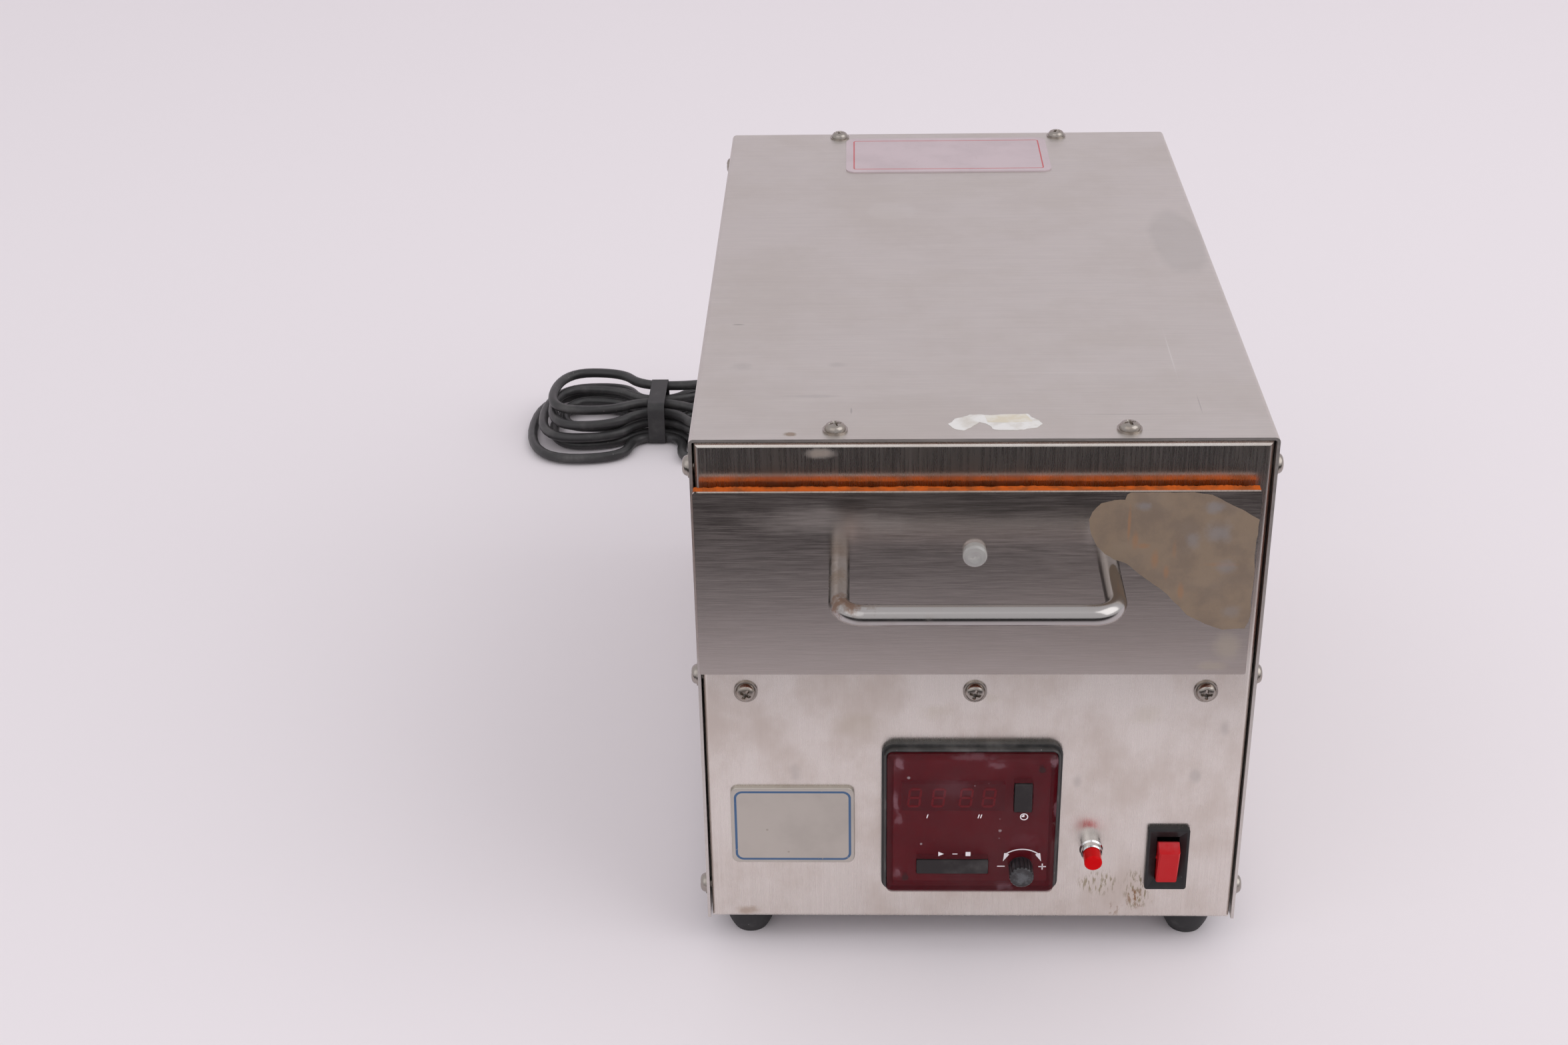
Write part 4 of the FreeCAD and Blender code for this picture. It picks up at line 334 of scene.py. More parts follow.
class Effects:
    """Node groups that several finishes share, each built once."""

    def __init__(self) -> None:
        """Build every group."""
        self.brushing = self._brushing()
        self.spot = self._spot()
        self.specks = self._specks()
        self.cloud = self._cloud()
        self.border = self._border()

    @staticmethod
    def _group(name: str, inputs: dict[str, str], outputs: Sequence[str]) -> tuple[Graph, bpy.types.Node, bpy.types.Node]:
        """An empty group with its sockets.

        Args:
            name: The group's name.
            inputs: Socket names with their short type, float or vector.
            outputs: Names of the number outputs.

        Returns:
            The graph, its input node and its output node.
        """
        kinds = {"float": "NodeSocketFloat", "vector": "NodeSocketVector"}
        tree = bpy.data.node_groups.new(name, "ShaderNodeTree")
        for label, kind in inputs.items():
            tree.interface.new_socket(name=label, in_out="INPUT", socket_type=kinds[kind])
        for label in outputs:
            tree.interface.new_socket(name=label, in_out="OUTPUT", socket_type="NodeSocketFloat")
        graph = Graph(tree)
        return graph, graph.add("NodeGroupInput"), graph.add("NodeGroupOutput")

    def _brushing(self) -> bpy.types.NodeTree:
        """Brush lines: noise drawn out along one axis, in a fine and a broad layer."""
        g, start, end = self._group("brushing", {"Vector": "vector", "Packing": "vector"},
                                    ["Lines", "Streaks", "Scratches"])
        packed = g.vector("MULTIPLY", start.outputs["Vector"], start.outputs["Packing"])
        fine = g.noise(packed, 1.0, 3.0, 0.7)
        broad = g.noise(packed, 0.37, 2.0, 0.6)
        g.feed(end.inputs["Lines"], g.spread(fine, 0.3, 0.7))
        g.feed(end.inputs["Streaks"], g.spread(broad, 0.33, 0.67))
        g.feed(end.inputs["Scratches"], g.spread(fine, 0.64, 0.78))
        return g.tree

    def _spot(self) -> bpy.types.NodeTree:
        """A soft or ragged patch: one inside an ellipsoid, zero outside, its rim moved by noise."""
        g, start, end = self._group("spot", {"Vector": "vector", "Centre": "vector", "Reach": "vector",
                                             "Softness": "float", "Raggedness": "float", "Fineness": "float"},
                                    ["Mask"])
        away = g.vector("SUBTRACT", start.outputs["Vector"], start.outputs["Centre"])
        length = g.vector("LENGTH", g.vector("DIVIDE", away, start.outputs["Reach"]))
        rough = g.math("SUBTRACT", g.noise(start.outputs["Vector"], start.outputs["Fineness"], 4.0, 0.65), 0.5)
        moved = g.math("ADD", length, g.math("MULTIPLY", rough, start.outputs["Raggedness"]))
        low = g.math("SUBTRACT", 1.0, start.outputs["Softness"])
        g.feed(end.inputs["Mask"], g.spread(moved, low, 1.0, 1.0, 0.0))
        return g.tree

    def _specks(self) -> bpy.types.NodeTree:
        """Scattered specks: the middle of a random few of many cells."""
        g, start, end = self._group("specks", {"Vector": "vector", "Scale": "float", "Size": "float",
                                               "Share": "float"}, ["Mask"])
        cells = g.add("ShaderNodeTexVoronoi")
        g.feed(cells.inputs["Vector"], start.outputs["Vector"])
        g.feed(cells.inputs["Scale"], start.outputs["Scale"])
        split = g.add("ShaderNodeSeparateColor")
        g.feed(split.inputs[0], cells.outputs["Color"])
        chosen = g.math("LESS_THAN", split.outputs[0], start.outputs["Share"])
        size = g.math("MULTIPLY", start.outputs["Size"], g.math("ADD", split.outputs[1], 0.3))
        inside = g.spread(cells.outputs["Distance"], g.math("MULTIPLY", size, 0.6), size, 1.0, 0.0)
        g.feed(end.inputs["Mask"], g.math("MULTIPLY", inside, chosen))
        return g.tree

    def _cloud(self) -> bpy.types.NodeTree:
        """Blotches: noise cut off between two levels."""
        g, start, end = self._group("cloud", {"Vector": "vector", "Scale": "float", "Low": "float",
                                              "High": "float"}, ["Mask"])
        rough = g.noise(start.outputs["Vector"], start.outputs["Scale"], 5.0, 0.62)
        g.feed(end.inputs["Mask"], g.spread(rough, start.outputs["Low"], start.outputs["High"]))
        return g.tree

    def _border(self) -> bpy.types.NodeTree:
        """A printed line along a rounded rectangle: the distance to the outline, cut to a width."""
        g, start, end = self._group("border", {"Across": "float", "Up": "float", "Half Width": "float",
                                               "Half Height": "float", "Corner": "float", "Line": "float"},
                                    ["Mask"])
        sides = []
        for axis, half in (("Across", "Half Width"), ("Up", "Half Height")):
            inner = g.math("SUBTRACT", start.outputs[half], start.outputs["Corner"])
            sides.append(g.math("SUBTRACT", g.math("ABSOLUTE", start.outputs[axis]), inner))
        squares = [g.math("POWER", g.math("MAXIMUM", s, 0.0), 2.0) for s in sides]
        outside = g.math("SQRT", g.math("ADD", *squares))
        inside = g.math("MINIMUM", g.math("MAXIMUM", *sides), 0.0)
        distance = g.math("SUBTRACT", g.math("ADD", outside, inside), start.outputs["Corner"])
        near = g.math("ABSOLUTE", distance)
        wide = start.outputs["Line"]
        g.feed(end.inputs["Mask"], g.spread(near, g.math("MULTIPLY", wide, 0.35), g.math("MULTIPLY", wide, 0.6),
                                            1.0, 0.0))
        return g.tree


def new_material(name: str) -> tuple[bpy.types.Material, Graph, bpy.types.Node]:
    """An empty material with its shader.

    Args:
        name: The material's name.

    Returns:
        The material, its graph and its Principled shader.
    """
    material = bpy.data.materials.new(name)
    material.use_nodes = True
    material.node_tree.nodes.clear()
    graph = Graph(material.node_tree)
    shader = graph.add("ShaderNodeBsdfPrincipled")
    output = graph.add("ShaderNodeOutputMaterial")
    graph.feed(output.inputs["Surface"], shader.outputs[0])
    return material, graph, shader


@dataclass(frozen=True)
class Stain:
    """A mark on a surface: where it is, how far it reaches and how it changes the surface."""

    centre: Point
    reach: Point
    colour: Colour
    strength: float
    softness: float = 0.7
    raggedness: float = 1.2
    fineness: float = 90.0
    dulling: float = 0.15
    streaks: Point | None = None


class Marks:
    """Stains laid over a colour and a roughness."""

    def __init__(self, g: Graph, effects: Effects, place: bpy.types.NodeSocket, stains: Sequence[Stain]) -> None:
        """Work out every stain's share.

        Args:
            g: The material's graph.
            effects: The shared node groups.
            place: The point on the object.
            stains: The marks.
        """
        self.g = g
        self.stains = stains
        self.shares = []
        for stain in stains:
            spot = g.effect(effects.spot, Vector=place, Centre=tuple(row(stain.centre)),
                            Reach=tuple(v * MM for v in stain.reach), Softness=stain.softness,
                            Raggedness=stain.raggedness, Fineness=stain.fineness).outputs[0]
            if stain.streaks is not None:
                drawn = g.vector("MULTIPLY", place, stain.streaks)
                torn = g.effect(effects.cloud, Vector=drawn, Scale=1.0, Low=0.50, High=0.60).outputs[0]
                spot = g.math("MULTIPLY", spot, torn)
            self.shares.append(g.math("MULTIPLY", spot, stain.strength))

    def over(self, colour: object, rough: object) -> tuple[object, object]:
        """The colour and roughness with the stains on them."""
        for stain, share in zip(self.stains, self.shares):
            colour = self.g.mix(share, colour, stain.colour)
            rough = self.g.math("ADD", rough, self.g.math("MULTIPLY", share, stain.dulling))
        return colour, rough

    def cover(self) -> object:
        """How much any stain hides, from zero to one."""
        hidden: object = 0.0
        for share in self.shares:
            hidden = self.g.math("MAXIMUM", hidden, share)
        return hidden


@dataclass(frozen=True)
class BrushedSheet:
    """Brushed stainless sheet: drawn-out lines, slow mottling, marks and settled specks."""

    name: str
    grain: Grain
    across: Point
    colour: Colour
    roughness: float = 0.24
    anisotropy: float = 0.6
    contrast: float = 0.14
    mottling: float = 0.12
    mottle_stretch: Point = (1.0, 1.0, 1.0)
    mottle_scale: float = 17.0
    folded_sides: bool = False
    stains: tuple[Stain, ...] = ()

    def _packing(self, g: Graph) -> object:
        """How tightly the lines are packed; on folded sides they run down."""
        if not self.folded_sides:
            return self.grain.value
        normal = g.add("ShaderNodeTexCoord").outputs["Normal"]
        split = g.add("ShaderNodeSeparateXYZ")
        g.feed(split.inputs[0], normal)
        side = g.math("GREATER_THAN", g.math("ABSOLUTE", split.outputs[0]), 0.7)
        change = tuple(b - a for a, b in zip(self.grain.value, Grain.UPRIGHT.value))
        scaled = g.add("ShaderNodeVectorMath", operation="SCALE")
        g.feed(scaled.inputs[0], change)
        g.feed(scaled.inputs["Scale"], side)
        return g.vector("ADD", self.grain.value, scaled.outputs[0])

    def build(self, effects: Effects) -> bpy.types.Material:
        """The sheet's material.

        Args:
            effects: The shared node groups.

        Returns:
            The material.
        """
        material, g, shader = new_material(self.name)
        place = g.place()
        brush = g.effect(effects.brushing, Vector=place, Packing=self._packing(g))
        stretched = g.vector("MULTIPLY", place, self.mottle_stretch)
        mottle = g.effect(effects.cloud, Vector=stretched, Scale=self.mottle_scale, Low=0.38, High=0.70).outputs[0]
        lines, streaks = brush.outputs["Lines"], brush.outputs["Streaks"]
        shade = g.math("ADD", 1.0 - 0.8 * self.contrast, g.math("MULTIPLY", lines, self.contrast))
        shade = g.math("ADD", shade, g.math("MULTIPLY", streaks, 0.6 * self.contrast))
        shade = g.math("ADD", shade, g.math("MULTIPLY", brush.outputs["Scratches"], 0.5 * self.contrast))
        colour = g.mix(1.0, self.colour, shade, "MULTIPLY")
        dull = tuple(c * k for c, k in zip(self.colour, (0.76, 0.70, 0.65)))
        colour = g.mix(g.math("MULTIPLY", mottle, self.mottling * 2.0), colour, dull)
        rough = g.math("ADD", self.roughness - 0.04, g.math("MULTIPLY", lines, 0.06))
        rough = g.math("ADD", rough, g.math("MULTIPLY", streaks, 0.03))
        rough = g.math("ADD", rough, g.math("MULTIPLY", mottle, 0.05))
        marks = Marks(g, effects, place, self.stains)
        colour, rough = marks.over(colour, rough)
        dust = g.effect(effects.specks, Vector=place, Scale=150.0, Size=0.10, Share=0.05).outputs[0]
        colour = g.mix(g.math("MULTIPLY", dust, 0.45), colour, (0.60, 0.58, 0.55))
        g.feed(shader.inputs["Base Color"], colour)
        g.feed(shader.inputs["Roughness"], rough)
        g.feed(shader.inputs["Metallic"], g.math("SUBTRACT", 1.0, g.math("MULTIPLY", marks.cover(), 0.9), clamp=True))
        shader.inputs["Anisotropic"].default_value = self.anisotropy
        tangent = g.add("ShaderNodeCombineXYZ")
        for socket, part in zip(tangent.inputs, self.across):
            socket.default_value = part
        g.feed(shader.inputs["Tangent"], tangent.outputs[0])
        g.feed(shader.inputs["Normal"], g.bump(lines, 0.02, 0.0002))
        return material


@dataclass(frozen=True)
class PlainMetal:
    """Turned, plated or bright metal with fine wear, a trace of tarnish and marks."""

    name: str
    colour: Colour
    roughness: float = 0.22
    tarnish: Colour = (0.30, 0.21, 0.13)
    tarnish_share: float = 0.25
    scale: float = 120.0
    stains: tuple[Stain, ...] = ()

    def build(self, effects: Effects) -> bpy.types.Material:
        """The metal's material."""
        material, g, shader = new_material(self.name)
        place = g.place()
        patch = g.effect(effects.cloud, Vector=place, Scale=self.scale, Low=0.52, High=0.75).outputs[0]
        fine = g.noise(place, self.scale * 12.0, 3.0)
        colour = g.mix(g.math("MULTIPLY", patch, self.tarnish_share), self.colour, self.tarnish)
        rough = g.math("ADD", self.roughness, g.math("MULTIPLY", patch, 0.12))
        rough = g.math("ADD", rough, g.math("MULTIPLY", fine, 0.06))
        marks = Marks(g, effects, place, self.stains)
        colour, rough = marks.over(colour, rough)
        g.feed(shader.inputs["Base Color"], colour)
        g.feed(shader.inputs["Roughness"], rough)
        g.feed(shader.inputs["Metallic"], g.math("SUBTRACT", 1.0, g.math("MULTIPLY", marks.cover(), 0.5), clamp=True))
        g.feed(shader.inputs["Normal"], g.bump(fine, 0.05, 0.0001))
        return material


@dataclass(frozen=True)
class PrintedPlate:
    """A bare metal plate with one printed line round it."""

    name: str
    colour: Colour
    ink: Colour
    centre: tuple[float, float]
    size: tuple[float, float]
    axes: tuple[int, int]
    inset: float
    corner: float
    line: float
    metallic: float = 0.75
    roughness: float = 0.36

    def build(self, effects: Effects) -> bpy.types.Material:
        """The plate's material; its sizes and centre are in metres."""
        material, g, shader = new_material(self.name)
        place = g.place()
        split = g.add("ShaderNodeSeparateXYZ")
        g.feed(split.inputs[0], place)
        across = g.math("SUBTRACT", split.outputs[self.axes[0]], self.centre[0])
        up = g.math("SUBTRACT", split.outputs[self.axes[1]], self.centre[1])
        border = g.add("ShaderNodeGroup", node_tree=effects.border)
        values = (across, up, self.size[0] / 2 - self.inset, self.size[1] / 2 - self.inset, self.corner, self.line)
        for socket, value in zip(border.inputs, values):
            g.feed(socket, value)
        worn = g.effect(effects.cloud, Vector=place, Scale=500.0, Low=0.62, High=0.74).outputs[0]
        ink = g.math("MULTIPLY", border.outputs[0], g.math("SUBTRACT", 1.0, g.math("MULTIPLY", worn, 0.7)))
        patch = g.effect(effects.cloud, Vector=place, Scale=45.0, Low=0.40, High=0.75).outputs[0]
        specks = g.effect(effects.specks, Vector=place, Scale=240.0, Size=0.14, Share=0.10).outputs[0]
        colour = g.mix(g.math("MULTIPLY", patch, 0.35), self.colour, tuple(c * 0.80 for c in self.colour))
        colour = g.mix(g.math("MULTIPLY", specks, 0.4), colour, (0.26, 0.20, 0.15))
        g.feed(shader.inputs["Base Color"], g.mix(ink, colour, self.ink))
        g.feed(shader.inputs["Roughness"], g.math("ADD", self.roughness, g.math("MULTIPLY", patch, 0.10)))
        g.feed(shader.inputs["Metallic"], g.math("MULTIPLY", g.math("SUBTRACT", 1.0, ink), self.metallic))
        g.feed(shader.inputs["Normal"], g.bump(g.noise(place, 1600.0, 2.0), 0.05, 0.0001))
        return material


@dataclass(frozen=True)
class Moulded:
    """Moulded plastic, rubber, paper or ceramic: fine texture, unevenness, marks and dust."""

    name: str
    colour: Colour
    roughness: float = 0.45
    dust: float = 0.15
    dust_colour: Colour = (0.48, 0.46, 0.44)
    texture: float = 0.10
    texture_scale: float = 1800.0
    coat: float = 0.0
    gloss: float = 0.5
    second: Colour | None = None
    second_scale: float = 60.0
    stains: tuple[Stain, ...] = ()

    def build(self, effects: Effects) -> bpy.types.Material:
        """The moulding's material."""
        material, g, shader = new_material(self.name)
        place = g.place()
        colour: object = self.colour
        if self.second is not None:
            patch = g.effect(effects.cloud, Vector=place, Scale=self.second_scale, Low=0.40, High=0.66).outputs[0]
            colour = g.mix(patch, self.colour, self.second)
        cloud = g.effect(effects.cloud, Vector=place, Scale=70.0, Low=0.45, High=0.8).outputs[0]
        specks = g.effect(effects.specks, Vector=place, Scale=420.0, Size=0.16, Share=0.10).outputs[0]
        share = g.math("MULTIPLY", g.math("MAXIMUM", g.math("MULTIPLY", cloud, 0.45), specks), self.dust)
        colour = g.mix(share, colour, self.dust_colour)
        rough = g.math("ADD", self.roughness, g.math("MULTIPLY", share, 0.6))
        colour, rough = Marks(g, effects, place, self.stains).over(colour, rough)
        g.feed(shader.inputs["Base Color"], colour)
        g.feed(shader.inputs["Roughness"], rough)
        shader.inputs["Coat Weight"].default_value = self.coat
        shader.inputs["Coat Roughness"].default_value = 0.12
        shader.inputs["Specular IOR Level"].default_value = self.gloss
        g.feed(shader.inputs["Normal"], g.bump(g.noise(place, self.texture_scale, 2.0), self.texture, 0.0002))
        return material


@dataclass(frozen=True)
class Tinted:
    """Tinted or clear plastic that shows what lies behind it, with smears and specks on it."""

    name: str
    colour: Colour
    opacity: float
    roughness: float = 0.10
    gloss: float = 0.35
    specks: float = 0.6
    speck_colour: Colour = (0.55, 0.48, 0.50)
    stains: tuple[Stain, ...] = ()

    def build(self, effects: Effects) -> bpy.types.Material:
        """The plastic's material."""
        material, g, shader = new_material(self.name)
        place = g.place()
        haze = g.effect(effects.cloud, Vector=place, Scale=55.0, Low=0.45, High=0.80).outputs[0]
        colour = g.mix(g.math("MULTIPLY", haze, 0.25), self.colour, tuple(c * 0.6 + 0.07 for c in self.colour))
        rough = g.math("ADD", self.roughness, g.math("MULTIPLY", haze, 0.12))
        marks = Marks(g, effects, place, self.stains)
        colour, rough = marks.over(colour, rough)
        specks = g.effect(effects.specks, Vector=place, Scale=190.0, Size=0.13, Share=0.13).outputs[0]
        specks = g.math("MULTIPLY", specks, self.specks)
        g.feed(shader.inputs["Base Color"], g.mix(specks, colour, self.speck_colour))
        g.feed(shader.inputs["Roughness"], rough)
        cover = g.math("MAXIMUM", g.math("MULTIPLY", marks.cover(), 0.9), specks)
        shader.inputs["Specular IOR Level"].default_value = self.gloss
        g.feed(shader.inputs["Alpha"], g.math("MAXIMUM", cover, g.math("ADD", self.opacity, g.math("MULTIPLY", haze, 0.06))))
        shader.inputs["IOR"].default_value = 1.49
        g.feed(shader.inputs["Normal"], g.bump(g.noise(place, 260.0, 2.0), 0.03, 0.0003))
        return material


@dataclass(frozen=True)
class ClearTube:
    """Clear quartz or plastic that bends the light; the rest of it is milky."""

    name: str
    colour: Colour
    roughness: float = 0.03
    through: float = 0.95

    def build(self, effects: Effects) -> bpy.types.Material:
        """The glass material."""
        material, g, shader = new_material(self.name)
        place = g.place()
        cloud = g.effect(effects.cloud, Vector=place, Scale=260.0, Low=0.4, High=0.8).outputs[0]
        g.feed(shader.inputs["Base Color"], g.mix(g.math("MULTIPLY", cloud, 0.2), self.colour,
                                                  tuple(c * 0.8 for c in self.colour)))
        g.feed(shader.inputs["Roughness"], g.math("ADD", self.roughness, g.math("MULTIPLY", cloud, 0.06)))
        shader.inputs["Transmission Weight"].default_value = self.through
        shader.inputs["IOR"].default_value = 1.46
        return material


# The studio


@dataclass(frozen=True)
class Studio:
    """Floor, backdrop, soft lamps and the camera."""

    floor_colour: Colour = (0.86, 0.81, 0.84)
    sweep_back: float = 2.2
    sweep_radius: float = 0.9
    sweep_height: float = 2.6
    half_width: float = 4.0
    near_edge: float = -4.0
    world_colour: Colour = (0.99, 0.975, 1.0)
    world_strength: float = 0.74
    lens: float = 50.61
    place: Point = (-0.04679, -0.89611, 0.59819)
    yaw: float = -0.0372
    pitch: float = 0.4959
    roll: float = -0.0205

    def build(self) -> None:
        """Make everything that isn't part of the object."""
        self._sweep()
        self._world()
        self._lamp("key", (2.5, -1.1, 2.6), 3.4, 42.0)
        self._lamp("fill", (-1.6, -2.2, 2.6), 3.0, 13.0)
        self._camera()

    def _sweep(self) -> None:
        """One pale sheet: flat floor, a quarter turn and an upright back, as a profile drawn sideways."""
        turn = np.linspace(0.0, math.pi / 2, 25)
        y = np.concatenate([[self.near_edge], self.sweep_back + self.sweep_radius * np.sin(turn)])
        z = np.concatenate([[0.0], self.sweep_radius * (1.0 - np.cos(turn))])
        y = np.append(y, y[-1])
        z = np.append(z, self.sweep_height)
        x = np.array([-self.half_width, self.half_width])
        grid = np.stack(np.broadcast_arrays(x[None, :], y[:, None], z[:, None]), axis=-1)
        shell = woven(grid, closed_columns=False)
        mesh = bpy.data.meshes.new("sweep")
        mesh.from_pydata(shell.vertices.tolist(), [], shell.faces)
        mesh.polygons.foreach_set("use_smooth", np.ones(len(mesh.polygons), bool))
        sweep = bpy.data.objects.new("sweep", mesh)
        bpy.context.scene.collection.objects.link(sweep)
        mesh.materials.append(self._sweep_material())

    def _sweep_material(self) -> bpy.types.Material:
        """Matt pale paper that metal sees near black from a hand's breadth in front of the object on: a painted dark
        reflection.
        """
        material, g, shader = new_material("pale_paper")
        place = g.place()
        split = g.add("ShaderNodeSeparateXYZ")
        g.feed(split.inputs[0], place)
        far = g.spread(split.outputs[1], -0.56, -0.29, 1.0, 0.0)
        rays = g.add("ShaderNodeLightPath")
        # Painted dark reflection: only glossy rays see the floor in front of the object as near black.
        dark = g.math("MULTIPLY", far, rays.outputs["Is Glossy Ray"])
        g.feed(shader.inputs["Base Color"], g.mix(dark, self.floor_colour, (0.022, 0.020, 0.020)))
        shader.inputs["Roughness"].default_value = 0.95
        shader.inputs["Specular IOR Level"].default_value = 0.0
        return material

    def _world(self) -> None:
        """Even light from everywhere, a little cool."""
        world = bpy.data.worlds.new("soft_room")
        world.use_nodes = True
        background = world.node_tree.nodes["Background"]
        background.inputs["Color"].default_value = (*self.world_colour, 1.0)
        background.inputs["Strength"].default_value = self.world_strength
        bpy.context.scene.world = world

    @staticmethod
    def _lamp(name: str, place: Point, size: float, power: float) -> None:
        """A square soft box aimed at the object.

        Args:
            name: The lamp's name.
            place: Where it hangs, in metres.
            size: Its side, in metres.
            power: Its power, in watts.
        """
        data = bpy.data.lights.new(name, "AREA")
        data.size = size
        data.energy = power
        lamp = bpy.data.objects.new(name, data)
        lamp.location = place
        way = Vector((0.0, 0.0, 0.1)) - Vector(place)
        lamp.rotation_euler = way.to_track_quat("-Z", "Y").to_euler()
        bpy.context.scene.collection.objects.link(lamp)

    def _camera(self) -> None:
        """The camera, from its yaw, its pitch below the horizon and its roll."""
        ahead = Vector((math.sin(self.yaw) * math.cos(self.pitch), math.cos(self.yaw) * math.cos(self.pitch),
                        -math.sin(self.pitch)))
        level = Vector((math.cos(self.yaw), -math.sin(self.yaw), 0.0))
        up = level.cross(ahead)
        right = math.cos(self.roll) * level + math.sin(self.roll) * up
        top = -math.sin(self.roll) * level + math.cos(self.roll) * up
        turned = Matrix((right, top, -ahead)).transposed()
        data = bpy.data.cameras.new("camera")
        data.sensor_width = 36.0
        data.lens = self.lens
        data.clip_start = 0.01
        camera = bpy.data.objects.new("camera", data)
        camera.matrix_world = Matrix.Translation(self.place) @ turned.to_4x4()
        bpy.context.scene.collection.objects.link(camera)
        bpy.context.scene.camera = camera


# The cord


@dataclass(frozen=True)
class Cord:
    """The mains cord: a lead from the case, a tied hank of six turns and a short tail to the plug."""

    diameter: float = 5.8
    length: float = 2367.0
    hank_x: float = -168.0
    hank_y: float = 497.0
    low_z: float = 3.7
    layer: float = 6.5
    climbs: tuple[float, ...] = (1.75, 3.25, 4.75)
    steps: tuple[float, ...] = (-0.5, 0.5, -0.5, 1.5)
    waist: Point = (3.97, 13.72, 0.0)
    run: Point = (42.25, -7.54, -2.1)
    lobe: Point = (12.89, 33.86, 2.1)
    half_turns: int = 12
    turn_length: float = 370.0
    lead: tuple[Point, ...] = (
        (12.0, 373.3, 40.8), (12.0, 395.0, 40.8), (13.0, 423.0, 29.0), (13.0, 446.0, 10.0),
        (11.0, 472.0, 3.1), (2.0, 500.0, 3.1), (-20.0, 523.0, 3.1), (-53.0, 537.0, 6.0),
        (-86.0, 535.0, 17.0), (-116.0, 523.0, 24.5), (-143.0, 511.26, 23.2),
    )
    tail: tuple[Point, ...] = ((-113.98, 446.24, 3.7), (-94.0, 444.0, 10.4), (-80.0, 444.0, 10.4))

    def _size(self, turn: np.ndarray) -> np.ndarray:
        """How far each layer has grown: up one layer, down the next, and wide on the last."""
        first, second, third = self.climbs
        down, up, back, wide = self.steps
        return np.select([turn <= first, turn <= second, turn <= third],
                         [(turn - first) * down, (turn - first) * up, (turn - third) * back],
                         (turn - third) * wide)

    def _height(self, turn: np.ndarray) -> np.ndarray:
        """Height over the bench: one layer more after each eased climb."""
        eased = [np.clip((turn - climb + 0.25) / 0.5, 0.0, 1.0) for climb in self.climbs]
        return self.low_z + self.layer * sum(e * e * (3 - 2 * e) for e in eased)

    def _hank(self) -> np.ndarray:
        """Control points of the hank, two between each pair of its waist and lobe points.

        A lobe and a waist follow each other along every turn. Each point heads along X, one way on
        the front strand and the other on the back one, so the two controls of a pair lie on their
        headings at the reach where the line between them is as long as both reaches together.
        """
        base = -0.35 + np.arange(self.half_turns) / 2
        turn = np.sort(np.concatenate([base, base + 0.1, base + 0.2]))[:-1]
        is_waist = (np.arange(len(turn)) % 3) == 1
        size = self._size(turn)
        powers = np.stack([np.ones_like(size), size, size * size])
        quarter = turn % 1.0
        back = np.where(quarter < 0.5, 1.0, -1.0)
        side = np.where((quarter > 0.25) & (quarter < 0.75), 1.0, -1.0)
        x = np.where(is_waist, 0.0, side * (np.array(self.run) @ powers))
        y = back * np.where(is_waist, np.array(self.waist) @ powers, np.array(self.lobe) @ powers)
        nodes = np.stack([x + self.hank_x, y + self.hank_y, self._height(turn)], axis=1)
        rise = (self._height(turn + 0.01) - self._height(turn - 0.01)) / (0.02 * self.turn_length)
        heading = np.stack([back, np.zeros_like(back), rise], axis=1)
        heading /= np.linalg.norm(heading, axis=1)[:, None]
        span = nodes[1:] - nodes[:-1]
        before, after = heading[:-1], heading[1:]
        ahead = np.sum(span * (before + after), axis=1)
        across = 2.0 * (1.0 - np.sum(before * after, axis=1))
        square = np.sum(span * span, axis=1)
        turning = across > 1e-9
        safe = np.where(turning, across, 1.0)
        reach = np.where(turning, (np.sqrt(ahead ** 2 + safe * square) - ahead) / safe,
                         square / (4.0 * np.sum(span * after, axis=1)))[:, None]
        pairs = np.stack([nodes[:-1] + before * reach, nodes[1:] - after * reach], axis=1)
        return pairs.reshape(-1, 3)

    def build(self, material: bpy.types.Material, plug_pieces: Sequence[bpy.types.Object]) -> None:
        """Make the cord as one smooth curve.

        Args:
            material: The jacket's finish.
            plug_pieces: The pieces on the cord; not used.
        """
        controls = row(np.vstack([self.lead, self._hank()[::-1], self.tail]))
        data = bpy.data.curves.new("power_cord", "CURVE")
        data.dimensions = "3D"
        data.bevel_depth = self.diameter / 2 * MM
        data.bevel_resolution = 5
        data.resolution_u = 8
        data.use_fill_caps = True
        spline = data.splines.new("NURBS")
        spline.points.add(len(controls) - 1)
        spline.points.foreach_set("co", np.hstack([controls, np.ones((len(controls), 1))]).ravel())
        spline.order_u = 3
        spline.use_endpoint_u = True
        data.materials.append(material)
        cord = bpy.data.objects.new("power_cord", data)
        bpy.context.scene.collection.objects.link(cord)
        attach(cord, Body.CABINET.value)
        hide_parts("power_cord_lead", "power_cord_hank", "power_cord_tail")
        LOG.info("power_cord: %d control points", len(controls))


# The case


